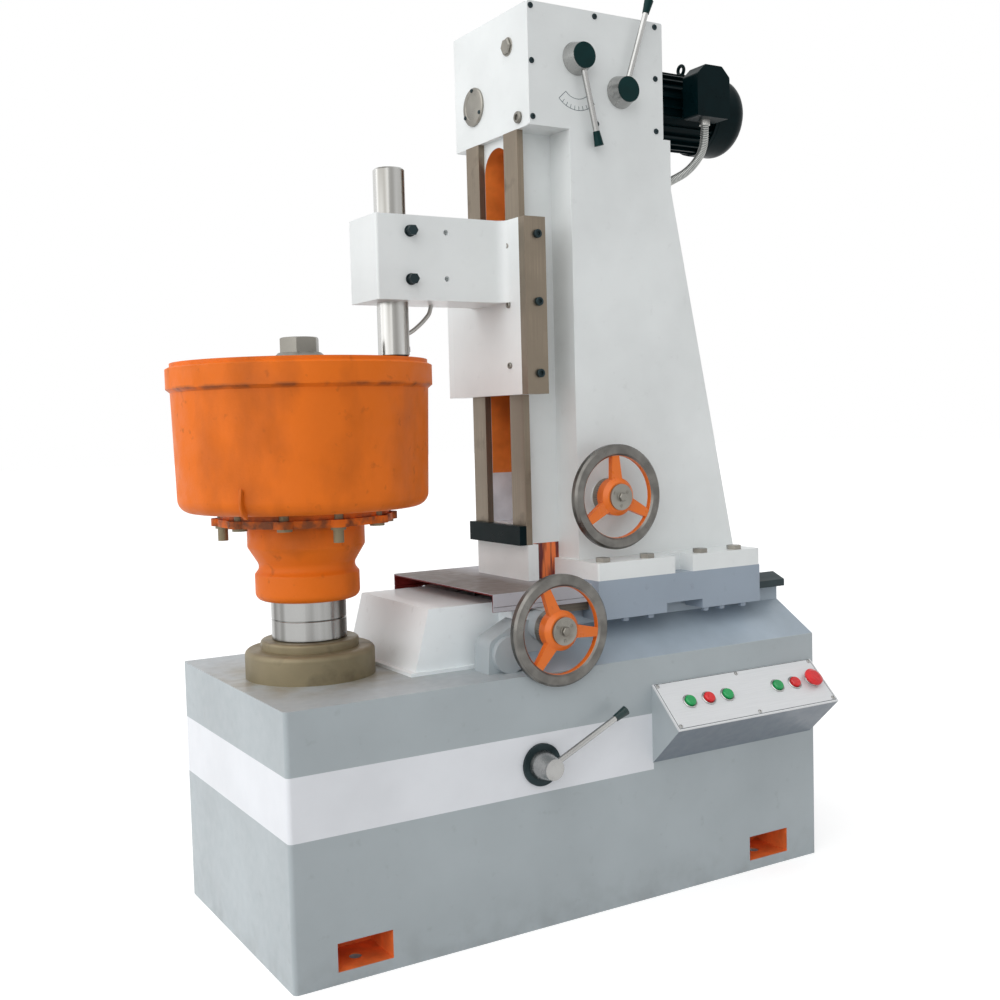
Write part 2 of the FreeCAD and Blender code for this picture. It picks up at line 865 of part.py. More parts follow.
def belt_loop(radius_spindle, radius_drive, distance):
    """Outline of a belt round two pulleys: two arcs joined by their outer tangents."""
    lean = math.asin((radius_spindle - radius_drive) / distance)
    up = FreeCAD.Vector(math.sin(lean), math.cos(lean), 0)
    down = FreeCAD.Vector(up.x, -up.y, 0)
    far = FreeCAD.Vector(distance, 0, 0)
    left = FreeCAD.Vector(-radius_spindle, 0, 0)
    right = far + FreeCAD.Vector(radius_drive, 0, 0)
    edges = [
        Part.Arc(down * radius_spindle, left, up * radius_spindle).toShape(),
        Part.makeLine(up * radius_spindle, far + up * radius_drive),
        Part.Arc(far + up * radius_drive, right, far + down * radius_drive).toShape(),
        Part.makeLine(far + down * radius_drive, down * radius_spindle),
    ]
    return Part.Wire(edges)


def drive_belt():
    """Flat sided belt that lies in both pulley grooves with a small gap."""
    depth = SIZES["groove_depth"] - 1
    thickness = SIZES["belt_thickness"]
    inner = [SIZES[name] - depth for name in ("pulley_radius", "drive_pulley_radius")]
    outer = [radius + thickness for radius in inner]
    distance = SIZES["drive_distance"]
    face = Part.Face([belt_loop(*outer, distance), belt_loop(*inner, distance)])
    face.validate()
    item = DOC.addObject("Part::Feature", "drive_belt")
    item.Shape = face.extrude(FreeCAD.Vector(0, 0, SIZES["belt_width"]))
    return place(item, SPINDLE_X, 0, S.pulley_bottom + (S.pulley_width - S.belt_width) / 2)


# Two of the studs are longer and stand out below the flange.
LONG_STUDS = (4, 7)


def stud_places():
    """The studs' places round the spindle axis."""
    count = int(SIZES["stud_count"])
    for i in range(count):
        angle = 2 * math.pi * (i + 0.5) / count
        yield i, SPINDLE_X + S.stud_circle * math.cos(angle), S.stud_circle * math.sin(angle)


def hub_and_drum():
    """Wheel hub with a lobed flange, the brake drum on it, their studs and the clamping pieces."""
    centre = (SPINDLE_X, 0, 0)
    bottom = S.nose_top
    flange = bottom + S.hub_flange_height
    flange_top = flange + S.hub_flange_thickness
    bore = S.mandrel_radius + 0.3
    ring = bottom + S.hub_ring_height
    waist = bottom + S.hub_waist_height
    top = bottom + S.hub_top_height
    outline = [
        (bore, bottom),
        (S.hub_ring_radius, bottom),
        (S.hub_ring_radius, ring),
        (S.hub_waist_radius, waist),
        (S.hub_top_radius, top),
        (S.hub_top_radius, flange),
        (S.hub_flange_radius, flange),
        (S.hub_flange_radius, flange_top),
        (bore, flange_top),
    ]
    body = revolve("hub_body", outline, centre, rounds=[(S.hub_ring_round, (1, 3)), (S.hub_ring_round / 2, (4,)), (5, (2,))])
    lobes = []
    hub_holes = []
    drum_holes = []
    studs = []
    web_top = flange_top + S.drum_boss_height + S.drum_web
    hole = S.stud_radius + 0.3
    stud_low = flange - S.stud_head_height
    stud_high = web_top + S.stud_nut_height + 2
    for i, x, y in stud_places():
        lobes.append(cylinder(f"lobe_{i}", (x, y, flange), S.hub_lobe_radius, S.hub_flange_thickness))
        hub_holes.append(cylinder(f"hub_hole_{i}", (x, y, flange - 1), hole, S.hub_flange_thickness + 2))
        drum_holes.append(cylinder(f"drum_hole_{i}", (x, y, flange_top - 1), hole, S.drum_boss_height + S.drum_web + 2))
        low = stud_low - S.stud_tail if i in LONG_STUDS else stud_low
        rod = cylinder(f"stud_rod_{i}", (x, y, low), S.stud_radius, stud_high - low)
        head = cylinder(f"stud_head_{i}", (x, y, stud_low), S.stud_head, S.stud_head_height)
        top_nut = hexagon(f"top_nut_{i}", (x, y, web_top), S.stud_nut, S.stud_nut_height)
        studs.append(fuse(f"stud_{i}", rod, head, top_nut))
    node(cut("drum_hub", fuse("lobed_hub", body, *lobes), *hub_holes), "drum_hub")
    web = flange_top + S.drum_boss_height
    drum_outline = [
        (S.drum_boss_inner, flange_top),
        (S.drum_boss_radius, flange_top),
        (S.drum_boss_radius, web),
        (S.drum_bottom_radius, web),
        (S.drum_wall_radius, S.drum_band_bottom - 6),
        (S.drum_band_radius, S.drum_band_bottom),
        (S.drum_band_radius, S.drum_band_top),
        (S.drum_lip_radius, S.drum_band_top + 4),
        (S.drum_lip_radius, S.drum_top),
        (S.drum_bore, S.drum_top),
        (S.drum_bore, web_top),
        (S.drum_boss_inner, web_top),
    ]
    shell = revolve("drum_shell", drum_outline, centre, rounds=[(S.drum_corner, (3,))])
    node(cut("brake_drum", shell, *drum_holes), "brake_drum")
    node(group("wheel_studs", *studs), "wheel_studs")
    foot = web_top + S.clamp_foot_height
    sleeve = [
        (bore, web_top),
        (S.clamp_foot_radius, web_top),
        (S.clamp_foot_radius, foot),
        (S.clamp_sleeve_radius, foot + 10),
        (S.clamp_sleeve_radius, S.clamp_washer_bottom),
        (bore, S.clamp_washer_bottom),
    ]
    seat = revolve("clamp_sleeve", sleeve, centre)
    node(seat, "clamp_sleeve")
    washer_top = S.clamp_washer_bottom + S.clamp_washer_thickness
    washer_outline = [
        (bore, S.clamp_washer_bottom),
        (S.clamp_washer_radius, S.clamp_washer_bottom),
        (S.clamp_washer_radius, S.clamp_washer_bottom + 4),
        (S.clamp_washer_radius - 8, washer_top),
        (bore, washer_top),
    ]
    washer = revolve("clamp_washer", washer_outline, centre)
    node(washer, "clamp_washer")
    nut_blank = hexagon("nut_blank", (SPINDLE_X, 0, washer_top), S.clamp_nut_width, S.clamp_nut_height)
    corner = S.clamp_nut_width / 2 + 2
    crown = [
        (bore, washer_top - 1),
        (corner + 6, washer_top - 1),
        (corner + 6, washer_top + S.clamp_nut_height - 4),
        (corner - 3, washer_top + S.clamp_nut_height + 0.5),
        (bore, washer_top + S.clamp_nut_height + 0.5),
    ]
    nut = DOC.addObject("Part::Common", "clamp_nut")
    nut.Base = nut_blank
    nut.Tool = revolve("nut_crown", crown, centre)
    node(nut, "clamp_nut")


def cross_slide():
    """Saddle on the bed ways with its keepers, its sheet cover and the rack under it."""
    gap = S.slide_gap
    low = BED_TOP - gap
    left = S.saddle_left
    right = left + S.saddle_length
    outer = WAY_CENTRE + S.way_half_width + gap
    inner = WAY_CENTRE - S.way_half_width - gap
    shoulder = BED_TOP + S.way_shoulder + gap
    ridge = BED_TOP + S.way_ridge + gap
    lip_low = BED_TOP + 4
    half = [
        (S.saddle_half_width, S.saddle_top),
        (S.saddle_half_width, low),
        (outer, low),
        (outer, shoulder),
        (WAY_CENTRE, ridge),
        (inner, shoulder),
        (inner, lip_low),
        (S.saddle_recess, lip_low),
        (S.saddle_recess, S.saddle_recess_top),
    ]
    section = half + [(-y, z) for y, z in reversed(half)]
    node(prism("saddle", "YZ", section, left, S.saddle_length), "saddle")
    keepers = []
    for side, sign in SIDES:
        ys = sorted_pair(S.saddle_half_width * sign, (S.saddle_half_width - S.keeper_reach) * sign, sign)
        zs = (low - S.keeper_height, low)
        keepers.append(block(f"{side}_left_keeper", (left, left + S.keeper_left_length), ys, zs))
        keepers.append(block(f"{side}_right_keeper", (right - S.keeper_right_length, right), ys, zs))
    node(group("saddle_keepers", *keepers), "saddle_keepers")
    cover_left = left - S.saddle_cover_length
    width = S.saddle_cover_half_width
    top = S.saddle_cover_top
    tray = block("cover_tray", (cover_left, left), (-width, width), (top - S.saddle_cover_lip, top))
    inside_y = width - S.cover_sheet
    inside_z = (top - S.saddle_cover_lip - 1, top - S.cover_sheet)
    hollow = block("cover_hollow", (cover_left - 1, left + 1), (-inside_y, inside_y), inside_z)
    node(cut("saddle_cover", tray, hollow), "saddle_cover")
    rack()


def rack():
    """Toothed bar under the saddle, with a tooth space over the pinion's top tooth."""
    module = S.gear_module
    pitch = module * math.pi
    pitch_z = S.lower_wheel_z + PITCH_RADIUS
    tip_z = pitch_z - module
    root_z = pitch_z + module * 1.25
    start = S.lower_wheel_x - pitch * S.rack_teeth / 2
    length = pitch * S.rack_teeth
    half_width = S.gear_width / 2
    back = block("rack_back", (start, start + length), (-half_width, half_width), (root_z, root_z + S.rack_back))
    slope = math.tan(math.radians(20))
    half = pitch / 4 - S.tooth_thinning
    teeth = []
    for i in range(int(SIZES["rack_teeth"])):
        x = start + pitch * (i + 0.5)
        outline = [
            (x - half - (root_z - pitch_z) * slope, root_z + 0.5),
            (x - half + module * slope, tip_z),
            (x + half - module * slope, tip_z),
            (x + half + (root_z - pitch_z) * slope, root_z + 0.5),
        ]
        teeth.append(prism(f"rack_tooth_{i}", "XZ", outline, -half_width, S.gear_width))
    pad_left = S.saddle_left + 4
    bar_end = pad_left + S.rack_pad_length
    bar = block("rack_bar", (start + length, bar_end), (-half_width, half_width), (root_z, root_z + S.rack_back))
    pad_z = (root_z + S.rack_back, S.saddle_recess_top)
    pad = block("rack_pad", (pad_left, bar_end), (-half_width, half_width), pad_z)
    node(fuse("saddle_rack", back, bar, pad, *teeth), "saddle_rack")


def column():
    """Hollow tapered column with a wide foot, a slotted neck and an inner shelf for the feed screw."""
    foot_left = S.saddle_left
    foot_right = S.saddle_left + S.saddle_length
    foot_top = S.saddle_top + S.column_foot
    outline = [
        (S.column_left, S.saddle_top),
        (foot_right, S.saddle_top),
        (foot_right, foot_top),
        (S.column_top_right, S.column_break),
        (S.column_top_right, S.column_top),
        (S.column_left, S.column_top),
    ]
    width = S.column_half_width
    body = prism("column_body", "XZ", outline, -width, width * 2)
    foot_half = S.saddle_half_width
    foot_corners = [(foot_left, -foot_half), (foot_right, -foot_half), (foot_right, foot_half), (foot_left, foot_half)]
    foot = prism("column_foot", "XY", foot_corners, S.saddle_top, S.column_foot, [(4, (0, 1, 2, 3))])
    neck_low = S.saddle_cover_top + S.neck_block_gap
    neck_y = (-S.neck_half_width, S.neck_half_width)
    neck = block("column_neck", (S.neck_front, S.column_left + 1), neck_y, (S.saddle_top, S.column_top))
    skirt_x = (S.neck_front, S.saddle_left - S.neck_block_gap)
    skirt = block("neck_skirt", skirt_x, neck_y, (neck_low, S.saddle_top + 1))
    block_y = (-S.neck_block_half_width, S.neck_block_half_width)
    neck_block = block("neck_block", (S.neck_block_front, S.neck_block_back), block_y, (neck_low, S.neck_block_top))
    wall = S.column_wall
    inner_y = width - wall
    lower = [
        (S.column_left + wall, S.saddle_top - 1),
        (foot_right - wall * 2, S.saddle_top - 1),
        (foot_right - wall * 2, foot_top),
        (slope_x(S.screw_shelf - wall) - wall, S.screw_shelf - wall),
        (S.column_left + wall, S.screw_shelf - wall),
    ]
    upper = [
        (S.column_left + wall, S.screw_shelf),
        (slope_x(S.screw_shelf) - wall, S.screw_shelf),
        (S.column_top_right - wall, S.column_break),
        (S.column_top_right - wall, S.column_top - wall),
        (S.column_left + wall, S.column_top - wall),
    ]
    hollows = [
        prism("column_lower_hollow", "XZ", lower, -inner_y, inner_y * 2),
        prism("column_upper_hollow", "XZ", upper, -inner_y, inner_y * 2),
    ]
    slot_y = (-S.slot_half_width, S.slot_half_width)
    arch = S.slot_top - S.slot_half_width
    slot_end = S.column_left + wall + 1
    hollows.append(block("slot", (S.neck_front - 1, slot_end), slot_y, (S.screw_shelf, arch)))
    hollows.append(block("slot_foot", (S.neck_front - 1, S.column_left - 4), slot_y, (S.slot_bottom, arch)))
    hollows.append(cylinder("slot_arch", (S.neck_front - 1, 0, arch), S.slot_half_width, slot_end - S.neck_front + 1, "X"))
    for side, sign in SIDES:
        notch_x = (S.foot_notch_left, S.foot_notch_left + S.foot_notch_width)
        ys = sorted_pair((foot_half + 1) * sign, (foot_half - S.foot_notch_depth) * sign, sign)
        hollows.append(block(f"{side}_foot_notch", notch_x, ys, (S.saddle_top - 1, foot_top + 1)))
    running = S.screw_radius + S.running_gap
    screw_low = (S.screw_x, 0, S.screw_shelf - wall - 1)
    hollows.append(cylinder("screw_hole", screw_low, running, S.column_top - S.screw_shelf + wall + 2))
    shaft = S.wheel_shaft_collar + S.running_gap
    shaft_start = (S.screw_x, -S.upper_wheel_y, S.bevel_height)
    hollows.append(cylinder("column_shaft_hole", shaft_start, shaft, S.upper_wheel_y - inner_y + 1, "Y"))
    gland = (S.column_top_right - wall - 1, -CONDUIT_Y, gland_height())
    hollows.append(cylinder("conduit_hole", gland, S.conduit_bore, wall + 2, "X"))
    boss_front = S.upper_wheel_y - S.wheel_hub_width / 2 - S.dial_width - S.bush_gap
    boss_start = (S.screw_x, -boss_front, S.bevel_height)
    boss = cylinder("shaft_boss", boss_start, S.bush_radius, boss_front - width + 1, "Y")
    node(cut("column", fuse("column_outside", body, foot, neck, skirt, neck_block, boss), *hollows), "column")
    bolts = []
    for i, x in enumerate((96, 200, 332, 420)):
        for side, sign in SIDES:
            y = (S.saddle_half_width - 20) * sign
            bolts.append(hexagon(f"{side}_foot_bolt_{i}", (x, y, foot_top), S.foot_bolt, S.foot_bolt_head))
    node(group("foot_bolts", *bolts), "foot_bolts")


def slope_x(height):
    """Where the column's sloped back edge stands at a height."""
    foot_top = S.saddle_top + S.column_foot
    right = S.saddle_left + S.saddle_length
    return right - (right - S.column_top_right) * (height - foot_top) / (S.column_break - foot_top)


def column_ways():
    """Two ground way strips on the neck and the stop bar across their lower ends."""
    strips = []
    back = S.column_way_front + S.column_way_thickness
    for side, sign in SIDES:
        ys = sorted_pair(S.column_way_outer * sign, S.slot_half_width * sign, sign)
        strips.append(block(f"{side}_strip", (S.column_way_front, back), ys, (S.neck_block_top, S.column_top)))
    node(group("column_ways", *strips), "column_ways")
    xs = (S.column_way_front - S.end_bar_thickness, S.column_way_front)
    zs = (S.neck_block_top, S.neck_block_top + S.end_bar_height)
    node(block("way_end_bar", xs, (-S.column_way_outer, S.column_way_outer), zs), "way_end_bar")


def head():
    """Feed gearbox on top of the column with a screwed front plate."""
    plate_y = -S.head_half_width
    corners = [
        (S.head_left, plate_y + S.head_plate),
        (S.head_right, plate_y + S.head_plate),
        (S.head_right, S.head_half_width),
        (S.head_left, S.head_half_width),
    ]
    body = prism("head_body", "XY", corners, S.column_top, S.head_top - S.column_top, [(S.head_corner, (2, 3))])
    holes = [cylinder("head_screw_hole", (S.screw_x, 0, S.column_top - 1), S.screw_radius + S.running_gap, S.screw_top - S.column_top + 3)]
    inner_x = (S.head_left + S.head_wall, S.head_right - S.head_wall)
    inner_y = (plate_y + S.head_plate - 1, S.head_half_width - S.head_wall)
    holes.append(block("head_hollow", inner_x, inner_y, (S.column_top + S.head_wall, S.head_top - S.head_wall)))
    plate_holes = []
    bore = S.lever_shaft + S.running_gap
    for side, x, z in (("left", S.left_lever_x, S.left_lever_z), ("right", S.right_lever_x, S.right_lever_z)):
        plate_holes.append(cylinder(f"{side}_plate_hole", (x, plate_y - 1, z), bore, S.head_plate + 2, "Y"))
    node(cut("head_box", body, *holes), "head_box")
    outline = [
        (S.head_left, S.column_top),
        (S.head_right, S.column_top),
        (S.head_right, S.head_top),
        (S.head_left, S.head_top),
    ]
    plate = prism("plate_body", "XZ", outline, plate_y, S.head_plate, [(S.head_corner, (0, 1, 2, 3))])
    node(cut("head_plate", plate, *plate_holes), "head_plate")


def feed_motor():
    """Finned motor on the right of the head, with its fan cover and terminal box."""
    start = S.head_right
    z = S.motor_height
    flange_end = start + S.motor_flange
    body_end = flange_end + S.motor_body_length
    flange = cylinder("motor_flange", (start, 0, z), S.motor_flange_radius, S.motor_flange, "X")
    core = cylinder("motor_core", (flange_end - 1, 0, z), S.motor_core_radius, S.motor_body_length + 1, "X")
    fins = []
    count = int(SIZES["motor_fin_count"])
    for i in range(count):
        fin = DOC.addObject("Part::Box", f"motor_fin_{i}")
        bind(fin, "Length", S.motor_body_length)
        bind(fin, "Width", S.motor_fin)
        bind(fin, "Height", S.motor_fin_radius)
        angle = 360 * (i + 0.5) / count
        fin.Placement = FreeCAD.Placement(FreeCAD.Vector(), FreeCAD.Rotation(FreeCAD.Vector(1, 0, 0), angle))
        bind(fin, "Placement.Base.x", flange_end)
        bind(fin, "Placement.Base.y", -S.motor_fin / 2 * math.cos(math.radians(angle)))
        bind(fin, "Placement.Base.z", z - S.motor_fin / 2 * math.sin(math.radians(angle)))
        fins.append(fin)
    bell = S.motor_flange / 2
    end_plate = cylinder("motor_end", (body_end - bell, 0, z), S.fan_cover_radius - 0.5, bell, "X")
    node(fuse("feed_motor", flange, core, end_plate, *fins), "feed_motor")
    end = S.fan_cover_length
    sheet = S.fan_cover_sheet
    bend = S.fan_cover_round
    inner = S.fan_cover_radius - sheet
    outline = [(0, 0), (S.fan_cover_radius, 0), (S.fan_cover_radius, end), (0, end)]
    shell = revolve("fan_cover_shell", outline, (body_end, 0, z), "X", [(bend, (2,))])
    outline = [(0, -1), (inner, -1), (inner, end - sheet), (0, end - sheet)]
    space = revolve("fan_cover_space", outline, (body_end, 0, z), "X", [(bend - sheet, (2,))])
    node(cut("motor_fan_cover", shell, space), "motor_fan_cover")
    low = S.terminal_bottom
    high = low + S.terminal_height
    left = S.terminal_left
    right = left + S.terminal_length
    bevel = S.terminal_chamfer
    outline = [
        (left, low),
        (right, low),
        (right, high - bevel),
        (right - bevel, high),
        (left + bevel, high),
        (left, high - bevel),
    ]
    box = prism("terminal_body", "XZ", outline, -S.terminal_front, S.terminal_depth, [(6, (0, 1, 2, 3, 4, 5))])
    middle = (left + right) / 2
    neck_x = (middle - S.terminal_neck, middle + S.terminal_neck)
    neck_z = (z - S.terminal_neck, z + S.terminal_neck)
    neck = block("terminal_neck", neck_x, (-S.terminal_front + 10, -S.motor_core_radius / 2), neck_z)
    envelope = cylinder("motor_envelope", (start, 0, z), S.motor_fin_radius + 0.3, S.motor_flange + S.motor_body_length, "X")
    node(cut("terminal_box", fuse("terminal_outside", box, neck), envelope), "terminal_box")


# Route of the flexible conduit in its upright plane, as (x, height over the column's top), from the terminal box down.
CONDUIT_Y = 113
CONDUIT_ROUTE = [(436, 47), (436, 19), (427, -10), (406, -35), (382, -54), (358, -66), (337, -76)]


def gland_height():
    """Height at which the line of the conduit's last run meets the column."""
    (x0, z0), (x1, z1) = CONDUIT_ROUTE[-2:]
    return S.column_top + z1 + (S.column_top_right - x1) * ((z0 - z1) / (x0 - x1))


def rounded_route():
    """Runs and tangent arcs of the conduit's route, as (length, function from distance to point and heading)."""
    top = S.column_top.number
    points = [FreeCAD.Vector(x, -CONDUIT_Y, top + z) for x, z in CONDUIT_ROUTE]
    pieces = []
    start = points[0]
    for before, corner, after in zip(points, points[1:], points[2:]):
        first = (corner - before).normalize()
        second = (after - corner).normalize()
        turn = first.getAngle(second)
        tangent = 0.45 * min(before.distanceToPoint(corner), corner.distanceToPoint(after))
        radius = tangent / math.tan(turn / 2)
        entry = corner - first * tangent
        pieces.append((start.distanceToPoint(entry), start, first, None, 0))
        normal = (second - first * first.dot(second)).normalize()
        pieces.append((radius * turn, entry, first, normal, radius))
        print(f"conduit bend radius {radius:.0f}, turn {math.degrees(turn):.0f} degrees")
        start = corner + second * tangent
    last = (points[-1] - points[-2]).normalize()
    pieces.append((start.distanceToPoint(points[-1]), start, last, None, 0))
    return pieces


def along_route(pieces, distance):
    """Point and heading at a distance along the route."""
    for length, start, heading, normal, radius in pieces:
        if distance <= length + 1e-6 or (length, start) == pieces[-1][:2]:
            if normal is None:
                return start + heading * distance, heading
            angle = distance / radius
            point = start + heading * (radius * math.sin(angle)) + normal * (radius * (1 - math.cos(angle)))
            return point, heading * math.cos(angle) + normal * math.sin(angle)
        distance -= length
    raise ValueError("distance past the end of the route")


def ring_wire(centre, heading, radius):
    """Circle square to the route with its first axis always along Y."""
    circle = Part.Circle(centre, heading, radius)
    circle.XAxis = FreeCAD.Vector(0, 1, 0)
    return Part.Wire(circle.toShape())


def conduit():
    """Ribbed metal conduit from the terminal box to the column, with a gland at each end."""
    pieces = rounded_route()
    total = sum(piece[0] for piece in pieces)
    outer = SIZES["conduit_radius"]
    inner = outer - SIZES["conduit_rib"]
    bore = SIZES["conduit_bore"]
    plain = outer * 2
    count = int(SIZES["conduit_rib_count"])
    pitch = (total - 2 * plain) / count
    stations = [(0.0, inner)]
    for i in range(count):
        low = plain + pitch * i
        stations += [(low, inner), (low + pitch * 0.3, outer), (low + pitch * 0.6, outer), (low + pitch * 0.9, inner)]
    stations.append((total, inner))
    outside = Part.makeLoft([ring_wire(*along_route(pieces, d), r) for d, r in stations], True, True)
    steps = [total * i / 60 for i in range(61)]
    inside = Part.makeLoft([ring_wire(*along_route(pieces, d), bore) for d in steps], True, True)
    item = DOC.addObject("Part::Feature", "motor_conduit")
    item.Shape = outside.cut(inside)
    section = math.pi * (inner * inner - bore * bore)
    print(f"conduit length {total:.1f}, volume {item.Shape.Volume:.0f}, plain tube {section * total:.0f}")
    node(item, "motor_conduit")
    top_x, rise = CONDUIT_ROUTE[0]
    top_z = S.column_top + rise
    upper = cylinder("upper_gland", (top_x, -CONDUIT_Y, top_z), S.gland_radius, S.terminal_bottom - top_z)
    (x0, z0), (end_x, end_z) = CONDUIT_ROUTE[-2:]
    socket = DOC.addObject("Part::Cylinder", "lower_socket")
    bind(socket, "Radius", S.gland_radius)
    bind(socket, "Height", S.gland_radius * 4)
    into = FreeCAD.Vector(end_x - x0, 0, end_z - z0)
    turn = FreeCAD.Rotation(FreeCAD.Vector(0, 0, 1), into)
    foot = FreeCAD.Vector(end_x, -CONDUIT_Y, S.column_top.number + end_z)
    socket.Placement = FreeCAD.Placement(foot, turn)
    wall_x = (S.column_top_right - 60, S.column_top_right)
    wall = block("gland_wall", wall_x, (-CONDUIT_Y - 40, -CONDUIT_Y + 40), (S.column_break - 60, S.column_top))
    lower = cut("lower_gland", socket, wall)
    node(group("conduit_glands", upper, lower), "conduit_glands")


def carriage():
    """Carriage plate with shoulders on the column ways and a long arm that holds the boring bar."""
    front = S.carriage_face
    way = S.column_way_front - S.slide_gap
    lip = S.column_way_front + S.column_way_thickness + S.slide_gap
    guide = S.column_way_outer + S.slide_gap
    side = S.carriage_half_width - S.keeper_plate
    section = [
        (front, -side),
        (lip, -side),
        (lip, -guide),
        (way, -guide),
        (way, guide),
        (lip, guide),
        (lip, side),
        (front, side),
    ]
    height = S.carriage_top - S.carriage_bottom
    plate = prism("carriage_plate", "XY", section, S.carriage_bottom, height)
    arm_outline = [
        (S.arm_end, S.arm_front),
        (front, S.arm_front),
        (front, S.arm_front - S.arm_round),
        (front + 8, S.arm_front - S.arm_round),
        (front + 8, S.arm_back + S.arm_round),
        (front, S.arm_back + S.arm_round),
        (front, S.arm_back),
        (S.arm_end, S.arm_back),
    ]
    arm = prism(
        "arm_body",
        "XY",
        arm_outline,
        S.arm_bottom,
        S.arm_top - S.arm_bottom,
        [(S.arm_round - 0.5, (1, 6)), (S.arm_corner, (0, 7))],
    )
    bore = cylinder("bar_hole", (S.bar_x, S.bar_y, S.arm_bottom - 1), S.bar_radius + S.running_gap, S.arm_top - S.arm_bottom + 2)
    pin_holes = []
    pin_x = S.carriage_face - S.pin_run
    for i, rise in enumerate((S.pin_low, S.pin_high)):
        pin = (pin_x, S.arm_front - 1, S.arm_bottom + rise)
        pin_holes.append(cylinder(f"pin_hole_{i}", pin, S.pin_radius, S.pin_depth + 1, "Y"))
    node(cut("carriage", fuse("carriage_casting", plate, arm), bore, *pin_holes), "carriage")
    keepers = []
    for name, sign in SIDES:
        outline = [
            (front, side * sign),
            (front, S.carriage_half_width * sign),
            (lip + S.keeper_lip, S.carriage_half_width * sign),
            (lip + S.keeper_lip, (S.neck_half_width + 2) * sign),
            (lip, (S.neck_half_width + 2) * sign),
            (lip, side * sign),
        ]
        keepers.append(prism(f"{name}_keeper_plate", "XY", outline, S.carriage_bottom, height))
    node(group("carriage_keepers", *keepers), "carriage_keepers")
    bolts = []
    for i, rise in enumerate((S.bolt_low, S.bolt_high)):
        z = S.arm_bottom + rise
        collar_y = S.arm_front
        collar = cylinder(f"clamp_collar_{i}", (S.bar_x + 10, collar_y, z), S.clamp_bolt_collar, S.clamp_bolt_collar_height, "-Y")
        head_y = collar_y - S.clamp_bolt_collar_height
        bolt = hexagon(f"clamp_head_{i}", (S.bar_x + 10, head_y, z), S.clamp_bolt * 1.7, S.clamp_bolt_head, "-Y")
        bolts.append(fuse(f"clamp_bolt_{i}", collar, bolt))
    node(group("clamp_bolts", *bolts), "clamp_bolts")
    nut_low = S.nut_bottom
    nut_y = (-S.nut_half_width, S.nut_half_width)
    nut_end = S.screw_x + S.screw_radius + S.nut_wall
    nut = block("nut_body", (way, nut_end), nut_y, (nut_low, nut_low + S.nut_height))
    thread = cylinder("nut_bore", (S.screw_x, 0, nut_low - 1), S.screw_radius + S.running_gap, S.nut_height + 2)
    node(cut("feed_nut", nut, thread), "feed_nut")
    nozzle()


# The nozzle pipe's corners, as (x, height over the arm's underside), in the upright plane through the spindle.
NOZZLE_ROUTE = [(-147, 0), (-151, -16), (-166, -32), (-186, -48), (-203, -57)]


def nozzle():
    """Thin bent pipe under the arm that points past the boring bar."""
    under = S.arm_bottom.number
    points = [FreeCAD.Vector(x, 0, under + z) for x, z in NOZZLE_ROUTE]
    edges = []
    start = points[0]
    for before, corner, after in zip(points, points[1:], points[2:]):
        first = (corner - before).normalize()
        second = (after - corner).normalize()
        tangent = 0.45 * min(before.distanceToPoint(corner), corner.distanceToPoint(after))
        entry = corner - first * tangent
        leave = corner + second * tangent
        turn = first.getAngle(second)
        radius = tangent / math.tan(turn / 2)
        inward = (second - first).normalize()
        middle = corner + inward * (radius / math.cos(turn / 2) - radius)
        edges.append(Part.makeLine(start, entry))
        edges.append(Part.Arc(entry, middle, leave).toShape())
        start = leave
    edges.append(Part.makeLine(start, points[-1]))
    path = Part.Wire(edges)
    radius = SIZES["nozzle_radius"]
    ring = Part.Wire(Part.Circle(points[0], points[1] - points[0], radius).toShape())
    item = DOC.addObject("Part::Feature", "nozzle_pipe")
    pipe = path.makePipeShell([ring], True, False)
    half = 10 * radius
    arm = Part.makeBox(2 * half, 2 * half, half, FreeCAD.Vector(points[0].x - half, -half, under))
    item.Shape = pipe.cut(arm)
    node(item, "nozzle_pipe")


def boring_bar():
    """Round bar in the arm with a square cutting bit at its lower end."""
    edge = S.bar_radius - S.bar_chamfer
    outline = [
        (0, S.bar_bottom),
        (edge, S.bar_bottom),
        (S.bar_radius, S.bar_bottom + S.bar_chamfer),
        (S.bar_radius, S.bar_top - S.bar_chamfer),
        (edge, S.bar_top),
        (0, S.bar_top),
    ]
    bar = revolve("bar_body", outline, (S.bar_x, S.bar_y, 0))
    half = S.bit_size / 2
    xs = (S.bar_x - S.bar_radius / 2, S.bar_x + S.bar_radius + S.bit_reach)
    ys = (S.bar_y - half, S.bar_y + half)
    zs = (S.bar_bottom + S.bit_height - half, S.bar_bottom + S.bit_height + half)
    bit = block("bit_blank", xs, ys, zs)
    node(cut("tool_bar", bar, block("bit_slot", xs, ys, zs)), "tool_bar")
    node(bit, "tool_bit")


def feed_screw():
    """Upright feed screw with the small bevel gear at its foot."""
    low = S.bevel_height + S.bevel_wheel_radius * (1 - S.bevel_width)
    high = S.bevel_height + S.bevel_wheel_radius
    small = S.bevel_screw_radius * (1 - S.bevel_width) - S.bevel_gap
    gear = cone("screw_bevel", (S.screw_x, 0, low), small, S.bevel_screw_radius - S.bevel_gap, high - low)
    rod = cylinder("screw_rod", (S.screw_x, 0, high - 1), S.screw_radius, S.screw_top - high + 1)
    node(fuse("feed_screw", gear, rod), "feed_screw")


